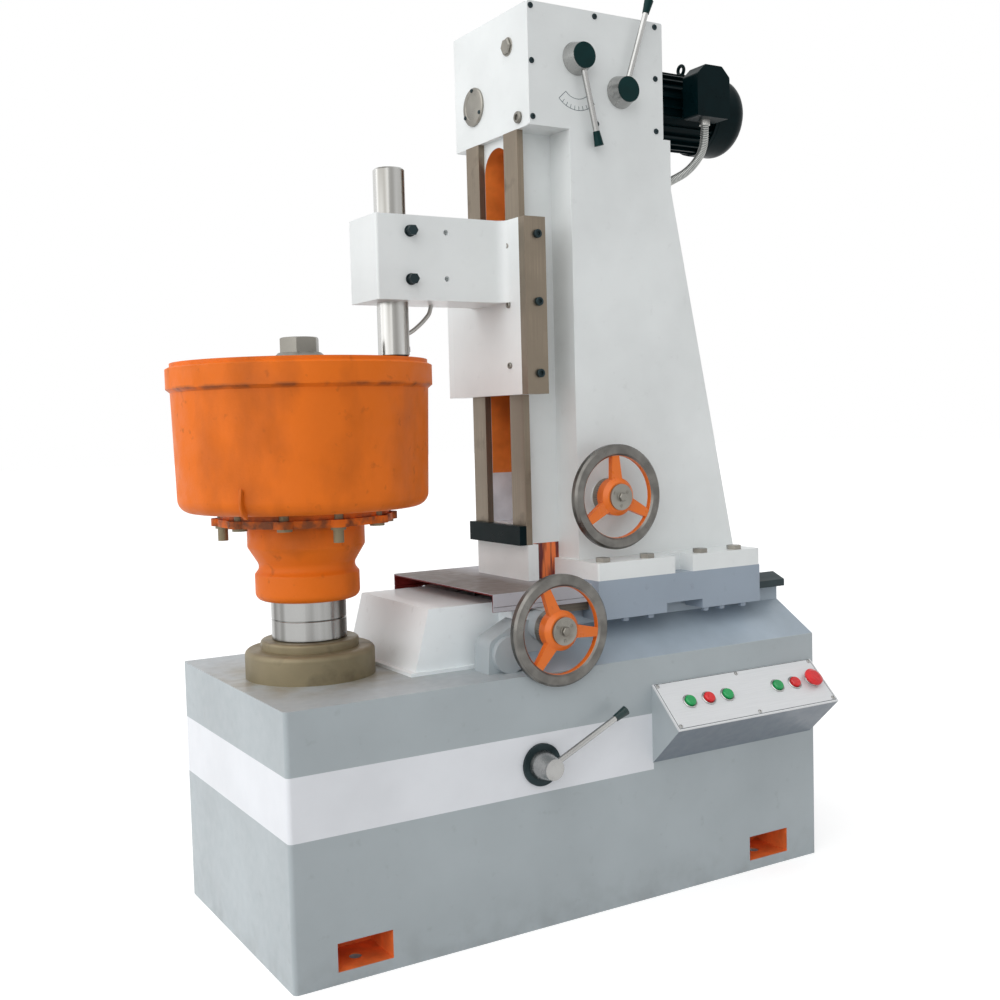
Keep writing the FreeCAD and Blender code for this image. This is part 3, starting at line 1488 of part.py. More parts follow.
def hand_wheel(name, x, y, z, spoke_angle):
    """Three spoked hand wheel: a chamfered rim, tapered spokes and a round hub, in one casting."""
    half = S.wheel_rim_width / 2
    rim_in = S.wheel_radius - S.wheel_rim
    bevel = S.wheel_rim_chamfer
    rim = [
        (rim_in + bevel, -half),
        (S.wheel_radius - bevel, -half),
        (S.wheel_radius, bevel - half),
        (S.wheel_radius, half - bevel),
        (S.wheel_radius - bevel, half),
        (rim_in + bevel, half),
        (rim_in, half - bevel),
        (rim_in, bevel - half),
    ]
    hub_half = S.wheel_hub_width / 2
    hub = [
        (S.wheel_bore + S.seat_gap, -hub_half),
        (S.wheel_hub_radius, -hub_half),
        (S.wheel_hub_radius, hub_half - S.wheel_hub_chamfer),
        (S.wheel_hub_radius - S.wheel_hub_chamfer, hub_half),
        (S.wheel_bore + S.seat_gap, hub_half),
    ]
    parts = [revolve(name + "_rim", rim, (x, y, z), "-Y"), revolve(name + "_hub", hub, (x, y, z), "-Y")]
    root = S.wheel_hub_radius - 6
    tip = rim_in + S.wheel_rim / 4
    spoke = [
        (root, -S.spoke_root / 2),
        (tip, -S.spoke_tip / 2),
        (tip, S.spoke_tip / 2),
        (root, S.spoke_root / 2),
    ]
    for i in range(3):
        arm = prism(f"{name}_spoke_{i}", "XZ", spoke, 0, S.spoke_thickness)
        tilt(arm, FreeCAD.Vector(0, -1, 0), spoke_angle + 120 * i)
        bind(arm, "Placement.Base.x", x)
        bind(arm, "Placement.Base.y", y - S.spoke_thickness / 2)
        bind(arm, "Placement.Base.z", z)
        parts.append(arm)
    node(fuse(name, *parts), name)


def wheel_shaft(name, x, y, z, end_y, dial_gap):
    """Shaft of a hand wheel with its graduated dial, shoulder and hub disc, from the front to an end plane."""
    hub_half = S.wheel_hub_width / 2
    back = y + hub_half
    disc_y = y - hub_half - S.hub_disc
    disc = cylinder(name + "_disc", (x, disc_y, z), S.hub_disc_radius, S.hub_disc, "Y")
    pin = cylinder(name + "_pin", (x, disc_y + 1, z), S.wheel_shaft, back - disc_y, "Y")
    dial = cylinder(name + "_dial", (x, back, z), S.dial_radius, S.dial_width - dial_gap, "Y")
    rod = cylinder(name + "_rod", (x, back + 1, z), S.wheel_shaft_collar, end_y - back - 1, "Y")
    return [disc, pin, dial, rod]


def hand_wheels():
    """Upper wheel for the carriage and lower wheel for the column, with their shafts and gears."""
    upper_y = -S.upper_wheel_y
    hand_wheel("upper_handwheel", S.screw_x, upper_y, S.bevel_height, S.upper_spoke_angle)
    large = -S.bevel_screw_radius
    small = large * (1 - S.bevel_width)
    gap = S.bevel_gap
    pieces = wheel_shaft("upper_shaft", S.screw_x, upper_y, S.bevel_height, large + 1, 0)
    wide = S.bevel_wheel_radius - gap
    narrow = S.bevel_wheel_radius * (1 - S.bevel_width) - gap
    pieces.append(cone("wheel_bevel", (S.screw_x, large, S.bevel_height), wide, narrow, small - large, "Y"))
    node(fuse("upper_wheel_shaft", *pieces), "upper_wheel_shaft")
    lower_y = -S.lower_wheel_y
    hand_wheel("lower_handwheel", S.lower_wheel_x, lower_y, S.lower_wheel_z, S.lower_spoke_angle)
    tail = lower_shaft_tail()
    pieces = wheel_shaft("lower_shaft", S.lower_wheel_x, lower_y, S.lower_wheel_z, tail, 0)
    module = S.gear_module
    half_width = S.gear_width / 2
    root = PITCH_RADIUS - module * 1.25
    centre = (S.lower_wheel_x, -half_width, S.lower_wheel_z)
    pieces.append(cylinder("pinion_core", centre, root, S.gear_width, "Y"))
    half = module * math.pi / 4 - S.tooth_thinning
    slope = 0.42
    tooth = [
        (-(half + module * slope), root - 1),
        (half + module * slope, root - 1),
        (half, PITCH_RADIUS),
        (half - module * slope, PITCH_RADIUS + module),
        (module * slope - half, PITCH_RADIUS + module),
        (-half, PITCH_RADIUS),
    ]
    for i in range(int(SIZES["pinion_teeth"])):
        item = prism(f"pinion_tooth_{i}", "XZ", tooth, 0, S.gear_width)
        tilt(item, FreeCAD.Vector(0, 1, 0), 360 / S.pinion_teeth * i)
        bind(item, "Placement.Base.x", S.lower_wheel_x)
        bind(item, "Placement.Base.y", -half_width)
        bind(item, "Placement.Base.z", S.lower_wheel_z)
        pieces.append(item)
    node(fuse("lower_wheel_shaft", *pieces), "lower_wheel_shaft")


def wheel_bracket(bed):
    """Bracket on the sloped bed that carries the lower hand wheel's shaft, with a round boss beside it."""
    outline = [
        (S.bracket_left, S.deck_height),
        (S.bracket_right, S.deck_height),
        (S.bracket_right, S.bracket_top),
        (S.bracket_left + S.bracket_slope, S.bracket_top),
        (S.bracket_left + 4, S.bracket_shoulder),
    ]
    depth = S.bracket_front - S.bed_half_width
    plate = prism("bracket_plate", "XZ", outline, -S.bracket_front, depth, [(S.bracket_round, (3, 4))])
    boss = cylinder("bracket_boss", (S.boss_x, -S.boss_front, S.boss_z), S.boss_radius, S.boss_front - S.bed_half_width, "Y")
    bush_front = S.lower_wheel_y - S.wheel_hub_width / 2 - S.dial_width - S.bush_gap
    bush_start = (S.lower_wheel_x, -bush_front, S.lower_wheel_z)
    bush = cylinder("bracket_bush", bush_start, S.bush_radius, bush_front - S.bed_half_width - S.way_overhang - 4, "Y")
    shaft = (S.lower_wheel_x, -HALF_WIDTH, S.lower_wheel_z)
    hole = cylinder("bracket_hole", shaft, S.wheel_shaft_collar + S.running_gap, S.base_width / 2, "Y")
    sheet = block("cover_space", (-HALF_LENGTH, -S.bed_start), (-S.end_cover_half_width - 20, 0), (0, S.head_top))
    node(cut("feed_bracket", fuse("bracket_blank", plate, boss, bush), bed, hole, sheet), "feed_bracket")


def lever(name, x, y, z, hub, rod_length, angle, shaft_depth):
    """Control lever: a tapered hub on a shaft, a thin rod and a separate black grip and cap."""
    base_radius, cap_radius, depth = hub
    gap = 0.5
    face = y - gap
    taper = cone(name + "_taper", (x, face, z), base_radius, cap_radius, depth, "-Y")
    shaft = cylinder(name + "_shaft", (x, face - 1, z), S.lever_shaft, shaft_depth + gap + 1, "Y")
    rod_y = face - depth * 0.62
    rod = cylinder(name + "_rod", (x, rod_y, z), S.lever_rod, rod_length)
    tilt(rod, FreeCAD.Vector(0, 1, 0), 90 - angle)
    node(fuse(name, taper, shaft, rod), name)
    grip = cone(name + "_handle", (0, 0, 0), S.lever_grip_radius, S.lever_grip_tip, S.lever_grip)
    tilt(grip, FreeCAD.Vector(0, 1, 0), 90 - angle)
    bind(grip, "Placement.Base.x", x + rod_length * cosine(angle))
    bind(grip, "Placement.Base.y", rod_y)
    bind(grip, "Placement.Base.z", z + rod_length * sine(angle))
    cap = cylinder(name + "_cap", (x, face - depth, z), cap_radius, S.lever_cap, "-Y")
    node(group(name + "_grip", grip, cap), name + "_grip")


def levers():
    """Two feed levers on the head and the spindle speed lever on the bed."""
    head_hub = (S.lever_hub_radius, S.lever_cap_radius, S.lever_hub_depth)
    plate = -S.head_half_width
    depth = S.head_plate * 4
    lever("left_lever", S.left_lever_x, plate, S.left_lever_z, head_hub, S.left_lever_length, S.left_lever_angle, depth)
    lever("right_lever", S.right_lever_x, plate, S.right_lever_z, head_hub, S.right_lever_length, S.right_lever_angle, depth)
    wall = -HALF_WIDTH
    ring = cylinder("escutcheon_disc", (S.speed_lever_x, wall, S.speed_lever_z), S.escutcheon_radius, S.escutcheon, "-Y")
    start = (S.speed_lever_x, wall - S.escutcheon - 1, S.speed_lever_z)
    hole = cylinder("escutcheon_hole", start, S.lever_shaft + S.running_gap, S.escutcheon + 2, "Y")
    node(cut("lever_escutcheon", ring, hole), "lever_escutcheon")
    hub = (S.speed_hub_radius, S.speed_cap_radius, S.speed_hub_depth)
    reach = HALF_WIDTH + S.escutcheon - S.gearbox_half_width + S.base_wall - 1
    y = wall - S.escutcheon
    lever("speed_lever", S.speed_lever_x, y, S.speed_lever_z, hub, S.speed_lever_length, S.speed_lever_angle, reach)


PANEL_RIGHT = S.panel_left + S.panel_length
PANEL_FRONT = -HALF_WIDTH - S.panel_width * cosine(S.panel_tilt)
PANEL_LOW = S.panel_top - S.panel_width * sine(S.panel_tilt)


def panel_point(along, out):
    """Y and Z of a point on the sloped panel, by its distance up from the lower edge and out from the face."""
    y = PANEL_FRONT + along * cosine(S.panel_tilt) - out * sine(S.panel_tilt)
    z = PANEL_LOW + along * sine(S.panel_tilt) + out * cosine(S.panel_tilt)
    return y, z


def on_panel(item, x, along, out):
    """Stands an object on the panel, with its own Z square to the sloped face."""
    tilt(item, FreeCAD.Vector(1, 0, 0), S.panel_tilt)
    y, z = panel_point(as_size(along), as_size(out))
    bind(item, "Placement.Base.x", x)
    bind(item, "Placement.Base.y", y)
    bind(item, "Placement.Base.z", z)
    return item


BUTTONS = (
    ("start_button", "left_buttons", 0),
    ("halt_button", "left_buttons", 1),
    ("jog_button", "left_buttons", 2),
    ("feed_button", "right_buttons", 0),
    ("feed_halt_button", "right_buttons", 1),
    ("stop_button", "right_buttons", 2),
)


def control_box():
    """Wedge shaped sheet box on the front of the bed, with a sloped panel and six push buttons."""
    bottom = S.panel_top - S.panel_drop
    wall = -HALF_WIDTH
    sheet = S.panel_sheet
    low_y, low_z = panel_point(as_size(0), -sheet)
    top_z = panel_point(S.panel_width - sheet * sine(S.panel_tilt) / cosine(S.panel_tilt), -sheet)[1]
    outline = [(wall, bottom), (low_y, low_z), (wall, top_z)]
    wedge = prism("wedge", "YZ", outline, S.panel_left, S.panel_length)
    inside = [
        (wall + 1, bottom + sheet * 1.5),
        (wall, bottom + sheet * 1.5),
        (low_y + sheet * 1.4, low_z),
        (low_y + sheet * 1.4, S.panel_top + 1),
        (wall + 1, S.panel_top + 1),
    ]
    hollow = prism("wedge_inside", "YZ", inside, S.panel_left + sheet, S.panel_length - sheet * 2)
    node(cut("control_box", wedge, hollow), "control_box")
    plate = DOC.addObject("Part::Box", "panel_plate")
    bind(plate, "Length", S.panel_length)
    bind(plate, "Width", S.panel_width - sheet)
    bind(plate, "Height", sheet)
    on_panel(plate, S.panel_left, 0, -sheet)
    holes = []
    for name, first, step in BUTTONS:
        x = S.panel_left + getattr(S, first) + S.button_pitch * step
        hole = DOC.addObject("Part::Cylinder", name + "_hole")
        bind(hole, "Radius", S.button_radius + S.running_gap)
        bind(hole, "Height", sheet + 2)
        holes.append(on_panel(hole, x, S.button_row, -sheet - 1))
    node(cut("control_panel", plate, *holes), "control_panel")
    for name, first, step in BUTTONS:
        x = S.panel_left + getattr(S, first) + S.button_pitch * step
        depth = -S.button_depth
        if name == "stop_button":
            neck = S.stop_height / 2
            outline = [
                (0, depth),
                (S.button_radius, depth),
                (S.button_radius, neck),
                (S.stop_radius, neck),
                (S.stop_radius, neck + 4),
                (S.stop_radius - 7, S.stop_height),
                (0, S.stop_height),
            ]
        else:
            outline = [
                (0, depth),
                (S.button_radius, depth),
                (S.button_radius, S.button_height - 2),
                (S.button_radius - 2, S.button_height),
                (0, S.button_height),
            ]
        node(on_panel(revolve(name, outline), x, S.button_row, 0), name)


def check_document():
    """Stops if any object failed or any piece has no valid solid."""
    DOC.recompute()
    failed = [item.Name for item in DOC.Objects if {"Invalid", "Error"} & set(item.State)]
    if failed:
        raise RuntimeError("objects that failed: " + ", ".join(failed))
    for item in NODES:
        shape = item.Shape
        if shape.isNull() or not shape.isValid() or not shape.Solids:
            raise RuntimeError("no valid solid in " + item.Label)


def export_nodes():
    """Writes each piece to a file of its own."""
    os.makedirs("parts", exist_ok=True)
    for item in NODES:
        item.Shape.exportStep(f"parts/{item.Label}.step")


def main():
    fill_sheet()
    bed = bed_casting()
    bed_ways()
    way_end_cover()
    spindle_support()
    spindle_and_pulley()
    belt_drive()
    hub_and_drum()
    cross_slide()
    column()
    column_ways()
    head()
    feed_motor()
    conduit()
    carriage()
    boring_bar()
    feed_screw()
    hand_wheels()
    wheel_bracket(bed)
    levers()
    control_box()
    check_document()
    export_nodes()
    print(len(NODES), "nodes")


main()
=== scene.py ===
"""Looks of a vertical brake drum boring machine: finishes, small fittings, conduit and stage."""

import math

import bmesh
import bpy
import numpy as np
from bpy.props import FloatProperty, FloatVectorProperty, IntProperty, PointerProperty
from mathutils import Matrix, Vector


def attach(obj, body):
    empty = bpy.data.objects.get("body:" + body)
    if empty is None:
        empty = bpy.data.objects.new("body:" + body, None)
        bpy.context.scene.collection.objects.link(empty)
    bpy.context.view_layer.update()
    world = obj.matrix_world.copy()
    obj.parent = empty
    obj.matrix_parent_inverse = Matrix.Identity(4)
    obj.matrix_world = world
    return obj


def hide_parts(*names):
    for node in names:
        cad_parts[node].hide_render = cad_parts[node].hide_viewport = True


bl_info = {
    "name": "Drum boring machine looks",
    "version": (1, 0, 0),
    "blender": (4, 5, 0),
    "location": "View3D > Sidebar > Boring machine",
    "description": "Finishes and small fittings for a vertical brake drum boring machine",
    "category": "Object",
}

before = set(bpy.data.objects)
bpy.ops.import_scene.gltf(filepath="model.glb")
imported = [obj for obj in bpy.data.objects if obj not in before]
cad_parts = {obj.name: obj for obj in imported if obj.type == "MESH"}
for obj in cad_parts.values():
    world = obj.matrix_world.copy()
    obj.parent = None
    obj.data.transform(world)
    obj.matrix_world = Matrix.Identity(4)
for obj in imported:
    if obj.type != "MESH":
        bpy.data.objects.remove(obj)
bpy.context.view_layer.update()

MM = 0.001
FINISHES = {}

# Places that the finishes share, in metres.
STRIPE_HEIGHTS = (0.2456, 0.3521)
DECK_HEIGHTS = (0.4575, 0.4586)
RAISED_BED = 0.4588
BED_FRONT = -0.2655
SPINDLE_CENTRE = (-0.415, 0.0)
PANEL_ENDS = (0.155, 0.560)
PANEL_EDGE = (-0.346, 0.3345)
PANEL_WIDTH = 0.109
UPPER_WHEEL_CENTRE = (0.140, 0.757)
LOWER_WHEEL_CENTRE = (-0.055, 0.534)
SPEED_LEVER_CENTRE = (-0.0945, 0.297)

# Painted areas that are told apart by their place, in metres.
POCKET_ALONG = (0.392, 0.495)
POCKET_ACROSS = (0.150, 0.2654)
POCKET_HEIGHTS = (0.018, 0.070)
BED_END = (-0.01, 0.515)
# Height below which the control box's underside gets painted shade.
BOX_UNDERSIDE = 0.333
# Recess at the column's foot, coloured partly with painted shade.
RECESS_HALF_WIDTH = 0.0745
RECESS_ALONG = (0.0205, 0.0815)
RECESS_HEIGHTS = (0.590, 0.668)
SLOT_HALF_WIDTH = 0.0475
SLOT_ALONG = (0.0075, 0.3)
SLOT_HEIGHTS = (0.7, 1.437)
SLOT_PLATE_TOP = 0.803
COVER_HALF_WIDTH = 0.1985
# Heights that bound the sheet cover's painted shade underneath and on its top.
COVER_UNDERSIDE = 0.5965
COVER_TOP = 0.5975
DRUM_CREASE = 0.9735
DRUM_FLANGE = 0.741
DRUM_BORE = (0.2, 0.2158)
DRUM_INSIDE = (0.79, 1.0195)
WHEEL_RIM = 0.0785
LEVER_BOSS = 0.045
WAY_ENDS = (0.0, 0.455)
# Height below which the spindle's nose gets painted shade.
NOSE_TOP = 0.72

# Orange inside the anchor pockets, in the column's slot and in streaks at its foot, as scene colours.
POCKET_ORANGE = (1.0, 0.24, 0.06, 1.0)
SLOT_ORANGE = (1.0, 0.27, 0.05, 1.0)
STREAK_ORANGE = (0.9, 0.2, 0.04, 1.0)

# Directions and faces that the fittings share, in millimetres.
LEFT = (-1, 0, 0)
FRONT = (0, -1, 0)
UP = (0, 0, 1)
DOWN = (0, 0, -1)
HEAD_END = -5
PLATE_FRONT = -140
SCALE_CENTRE = (103, 1542)
SCALE_ARCS = (35, 56)
SCALE_START = 222
SCALE_STEP = 10.2
SCALE_TICKS = 10
PANEL_TILT = math.radians(42.8)
CONDUIT_RADIUS = 8.5
CONDUIT_SIDES = 20
WHEEL_LINES = 50

# The viewer's place in metres, directions, lens in millimetres, and where the lamp points.
EYE = (-1.2524, -2.0786, 0.9042)
AHEAD = (0.51335, 0.85586, -0.06309)
RIGHT = (0.85644, -0.51561, -0.02586)
LENS = 44.33
LAMP_HEADING = (0.86, 0.16, -0.48)

# Which finish each solid of the frame wears.
WEARS = {
    "bed_paint": ("base_casting",),
    "box_paint": ("feed_bracket", "control_box"),
    "head_paint": ("head_box", "head_plate", "carriage"),
    "end_cover_paint": ("way_end_cover",),
    "cover_paint": ("saddle_cover",),
    "column_paint": ("column",),
    "saddle_paint": ("saddle", "saddle_keepers"),
    "drum_paint": ("drum_hub", "brake_drum"),
    "bed_way_steel": ("bed_ways", "saddle_rack"),
    "column_way_steel": ("column_ways",),
    "keeper_finish": ("carriage_keepers",),
    "upper_wheel_finish": ("upper_handwheel",),
    "lower_wheel_finish": ("lower_handwheel",),
    "bright_steel": ("feed_screw", "left_lever", "right_lever", "speed_lever"),
    "bar_steel": ("tool_bar", "clamp_sleeve", "spindle_shaft"),
    "spindle_steel": ("upper_wheel_shaft", "lower_wheel_shaft", "foot_bolts", "clamp_washer", "clamp_nut"),
    "olive_iron": ("spindle_housing", "wheel_studs"),
    "dark_steel": ("clamp_bolts", "tool_bit", "spindle_bearings", "lever_escutcheon"),
    "black_enamel": ("feed_motor", "motor_fan_cover", "terminal_box", "way_end_bar"),
    "inner_iron": ("spindle_pulley", "drive_pulley", "main_motor", "main_gearbox"),
    "belt_rubber": ("drive_belt",),
    "conduit_metal": ("motor_conduit", "conduit_glands", "nozzle_pipe"),
    "black_plastic": ("left_lever_grip", "right_lever_grip"),
    "speed_grip": ("speed_lever_grip",),
    "panel_metal": ("control_panel",),
    "green_plastic": ("start_button", "jog_button", "feed_button"),
    "red_plastic": ("halt_button", "feed_halt_button", "stop_button"),
    "bronze": ("feed_nut",),
}


def colour_of(label, rgb):
    """A colour that the user may change, written in screen values from 0 to 1."""
    return FloatVectorProperty(
        name=label, description=f"Colour of {label.lower()}", subtype="COLOR_GAMMA", size=3,
        min=0.0, max=1.0, default=tuple(c / 255 for c in rgb),
    )


def length_of(label, words, value):
    """A length in metres that the user may change, given in millimetres here."""
    return FloatProperty(name=label, description=words, unit="LENGTH", min=0.0, default=value * MM)


class BorerColours(bpy.types.PropertyGroup):
    """Colours of the machine's paints, metals and plastics."""

    bed: colour_of("Bed paint", (170, 179, 183))
    stripe: colour_of("Bed stripe", (229, 232, 237))
    slope: colour_of("Bed slope", (164, 178, 190))
    head: colour_of("Head and column paint", (231, 235, 235))
    saddle: colour_of("Saddle paint", (150, 163, 177))
    orange: colour_of("Drum orange", (232, 114, 20))
    grime: colour_of("Workshop grime", (64, 52, 40))
    way: colour_of("Ground ways", (140, 128, 112))
    steel: colour_of("Bright steel", (192, 192, 190))
    worn: colour_of("Worn steel", (152, 149, 141))
    rim: colour_of("Wheel rims", (116, 114, 110))
    # Dark red that stands for painted shade on orange-painted insides.
    inside: colour_of("Inside paint", (110, 24, 20))
    cover: colour_of("Cover paint", (190, 190, 196))
    end_cover: colour_of("Way cover paint", (242, 248, 250))
    olive: colour_of("Oiled iron", (134, 123, 96))
    dark: colour_of("Blackened steel", (30, 48, 52))
    enamel: colour_of("Motor enamel", (4, 24, 27))
    iron: colour_of("Cast iron", (92, 94, 96))
    rubber: colour_of("Belt rubber", (30, 30, 30))
    conduit: colour_of("Conduit metal", (196, 196, 192))
    plastic: colour_of("Grip plastic", (6, 44, 44))
    panel: colour_of("Panel sheet", (222, 224, 226))
    green: colour_of("Start buttons", (14, 160, 84))
    red: colour_of("Stop buttons", (222, 30, 36))
    bronze: colour_of("Nut bronze", (176, 132, 70))


class BorerSizes(bpy.types.PropertyGroup):
    """Sizes of the small fittings."""

    plug: length_of("Hexagon plug", "Across flats of the oil plug on the head's end", 27)
    cover: length_of("Round cover", "Diameter of the round cover on the head's end", 74)
    level: length_of("Small plug", "Diameter of the small plug on the head's end", 22)
    plate_screw: length_of("Plate screw", "Head diameter of the head plate's screws", 11)
    keeper_screw: length_of("Keeper screw", "Head diameter of the keepers' socket screws", 16)
    saddle_screw: length_of("Saddle screw", "Across flats of the screws under the saddle", 13)
    bezel: length_of("Button bezel", "Outside diameter of the ring round a button", 30)
    eye: length_of("Lifting eye", "Middle diameter of the motor's lifting eye", 19)
    rib: length_of("Conduit rib", "Depth of the conduit's ribs", 0.9)
    ribs: IntProperty(name="Conduit ribs", description="Ribs along the conduit", min=1, default=46)


def linear(rgb):
    """Screen colour to scene colour, with full alpha."""
    c = np.asarray(rgb, dtype=float)
    low = c / 12.92
    high = ((c + 0.055) / 1.055) ** 2.4
    return (*np.where(c <= 0.04045, low, high).tolist(), 1.0)


def shade(rgb, amount):
    """A scene colour times an amount, with full alpha."""
    return (*(min(1.0, c * amount) for c in rgb[:3]), 1.0)


class Finish:
    """A material on Object coordinates, whose nodes are added one at a time."""

    def __init__(self, name):
        self.material = bpy.data.materials.new(name)
        self.material.use_nodes = True
        tree = self.material.node_tree
        self.nodes = tree.nodes
        self.links = tree.links
        self.shader = self.nodes["Principled BSDF"]
        self.place = self.nodes.new("ShaderNodeTexCoord").outputs["Object"]
        self.axes = None
        FINISHES[name] = self.material

    def put(self, socket, value):
        """Links a socket, or sets a constant on it."""
        if isinstance(value, bpy.types.NodeSocket):
            self.links.new(value, socket)
        else:
            socket.default_value = value

    def axis(self, letter):
        """One coordinate of the point, in metres."""
        if self.axes is None:
            self.axes = self.nodes.new("ShaderNodeSeparateXYZ")
            self.links.new(self.place, self.axes.inputs[0])
        return self.axes.outputs[letter]

    def noise(self, scale, detail=4.0, stretch=None):
        """Cloudy noise of a given number of lumps per metre, drawn out along an axis by stretch."""
        node = self.nodes.new("ShaderNodeTexNoise")
        node.inputs["Scale"].default_value = scale
        node.inputs["Detail"].default_value = detail
        source = self.place
        if stretch:
            mapping = self.nodes.new("ShaderNodeMapping")
            mapping.inputs["Scale"].default_value = stretch
            self.links.new(self.place, mapping.inputs["Vector"])
            source = mapping.outputs[0]
        self.links.new(source, node.inputs["Vector"])
        return node.outputs["Fac"]

    def sum(self, operation, a, b=0.0):
        """One arithmetic step on two values."""
        node = self.nodes.new("ShaderNodeMath")
        node.operation = operation
        self.put(node.inputs[0], a)
        self.put(node.inputs[1], b)
        return node.outputs[0]

    def spread(self, value, low, high, to_low=0.0, to_high=1.0):
        """Carries a range of a value to another range, held at its ends."""
        node = self.nodes.new("ShaderNodeMapRange")
        self.put(node.inputs["Value"], value)
        ends = {"From Min": low, "From Max": high, "To Min": to_low, "To Max": to_high}
        for name, number in ends.items():
            node.inputs[name].default_value = number
        return node.outputs[0]

    def within(self, value, low, high):
        """One where a value lies between two others, and zero elsewhere."""
        above = self.sum("GREATER_THAN", value, low)
        below = self.sum("LESS_THAN", value, high)
        return self.sum("MULTIPLY", above, below)

    def both(self, *masks):
        """One where all masks are one."""
        mask = masks[0]
        for other in masks[1:]:
            mask = self.sum("MULTIPLY", mask, other)
        return mask

    def radius(self, first, second, centre):
        """Distance from an axis that crosses the plane of two coordinates at centre."""
        a = self.sum("SUBTRACT", self.axis(first), centre[0])
        b = self.sum("SUBTRACT", self.axis(second), centre[1])
        square = self.sum("ADD", self.sum("MULTIPLY", a, a), self.sum("MULTIPLY", b, b))
        return self.sum("SQRT", square)

    def mix(self, mask, a, b):
        """Colour a where the mask is zero and colour b where it is one."""
        node = self.nodes.new("ShaderNodeMix")
        node.data_type = "RGBA"
        self.put(node.inputs[0], mask)
        self.put(node.inputs[6], a)
        self.put(node.inputs[7], b)
        return node.outputs[2]

    def mottle(self, colour, scale=4.0, depth=0.86):
        """A colour with cloudy lighter and darker areas."""
        cloud = self.spread(self.noise(scale, 6.0), 0.36, 0.66)
        return self.mix(cloud, shade(colour, depth), shade(colour, 1.04))

    def grime(self, colour, dirt, scale, start, end, amount=1.0):
        """Dirt that lies where a noise passes a level."""
        mask = self.spread(self.noise(scale, 9.0), start, end, 0.0, amount)
        return self.mix(mask, colour, dirt)

    def close(self, colour, rough, bump_scale, bump, metal=0.0, stretch=None):
        """Sets colour, roughness that varies and a fine relief on the shader."""
        self.put(self.shader.inputs["Base Color"], colour)
        self.put(self.shader.inputs["Metallic"], metal)
        grain = self.noise(bump_scale, 3.0, stretch)
        cloud = self.noise(bump_scale * 0.12, 4.0, stretch)
        self.put(self.shader.inputs["Roughness"], self.spread(cloud, 0.3, 0.7, *rough))
        node = self.nodes.new("ShaderNodeBump")
        node.inputs["Strength"].default_value = bump
        node.inputs["Distance"].default_value = 0.0006
        self.links.new(grain, node.inputs["Height"])
        self.links.new(node.outputs[0], self.shader.inputs["Normal"])
        return self.material


def axes_about(axis):
    """Two directions square to an axis, and the axis itself."""
    w = np.asarray(axis, dtype=float)
    w = w / np.linalg.norm(w)
    side = np.array((0.0, 0.0, 1.0)) if abs(w[2]) < 0.9 else np.array((1.0, 0.0, 0.0))
    u = np.cross(side, w)
    u = u / np.linalg.norm(u)
    return u, np.cross(w, u), w


def quads_over(points, close_u=True, close_v=False):
    """Four sided faces over a grid of points: columns run along u and rows along v.

    close_u and close_v join the last column or row to the first.
    """
    rows, columns = points.shape[:2]
    index = np.arange(rows * columns).reshape(rows, columns)
    if close_u:
        index = np.concatenate((index, index[:, :1]), axis=1)
    if close_v:
        index = np.concatenate((index, index[:1]), axis=0)
    corners = (index[:-1, :-1], index[:-1, 1:], index[1:, 1:], index[1:, :-1])
    return points.reshape(-1, 3), np.stack(corners, axis=-1).reshape(-1, 4)


def turned(profile, origin, axis, sides=32):
    """Turned solid: point(t, a) = origin + r(t) (cos a u + sin a v) + h(t) w.

    The profile gives r and h in millimetres.
    """
    u, v, w = axes_about(axis)
    r, h = (np.asarray(profile, dtype=float) * MM).T[:, :, None, None]
    a = np.linspace(0.0, math.tau, sides, endpoint=False)[None, :, None]
    points = np.asarray(origin) * MM + r * (np.cos(a) * u + np.sin(a) * v) + h * w
    return quads_over(points)


def ring(origin, axis, middle, thick):
    """Round bar bent to a ring: point(a, b) = origin + (R + r cos b)(cos a u + sin a v) + r sin b w."""
    u, v, w = axes_about(axis)
    a = np.linspace(0.0, math.tau, 40, endpoint=False)[:, None, None]
    b = np.linspace(0.0, math.tau, 14, endpoint=False)[None, :, None]
    reach = (middle + thick * np.cos(b)) * MM
    spoke = np.cos(a) * u + np.sin(a) * v
    points = np.asarray(origin) * MM + reach * spoke + thick * MM * np.sin(b) * w
    return quads_over(points, close_v=True)


def strip(centre, along, across, length, width, proud):
    """Low bar with a crowned top: a section that narrows with height, carried along its length."""
    along = np.asarray(along, dtype=float)
    across = np.asarray(across, dtype=float)
    up = np.cross(along, across)
    t = np.array((-0.5, -0.5, 0.5, 0.5))[:, None, None] * length
    keep = np.array((0.0, 1.0, 1.0, 0.0))[:, None, None]
    s = np.array((-0.5, -0.36, 0.36, 0.5, 0.36, -0.36))[None, :, None] * width
    h = np.array((0.0, 1.0, 1.0, 0.0, -0.4, -0.4))[None, :, None] * proud
    points = (np.asarray(centre) + t * along + keep * (s * across + h * up)) * MM
    return quads_over(points)


def socket_screw(origin, axis, diameter, height):
    """Socket screw's head: a chamfered drum with a round well, as a turned profile."""
    r = diameter / 2
    well = r * 0.52
    head = [(0, -1), (r, -1), (r, height - 1), (r - 1, height), (well + 0.6, height)]
    inside = [(well, height - 0.6), (well, height * 0.45), (0, height * 0.35)]
    return turned(head + inside, origin, axis, 24)


def hexagon_head(origin, axis, flats, height):
    """Hexagon head with a chamfered top and a round washer face under it."""
    r = flats / 2 / math.cos(math.pi / 6)
    body = [(0, 0.8), (r, 0.8), (r, height - r * 0.16), (r * 0.86, height), (0, height)]
    face = [(0, -1), (r * 1.12, -1), (r * 1.12, 0.6), (r * 1.04, 1.2), (0, 1.2)]
    return [turned(body, origin, axis, 6), turned(face, origin, axis, 24)]


def pan_screw(origin, axis, diameter, height):
    """Low round head with a driver well: a crowned turned profile."""
    r = diameter / 2
    crown = [(0, -0.8), (r, -0.8), (r, height * 0.4), (r * 0.88, height * 0.8), (r * 0.6, height)]
    inside = [(r * 0.3, height), (r * 0.26, height * 0.3), (0, height * 0.2)]
    return turned(crown + inside, origin, axis, 24)


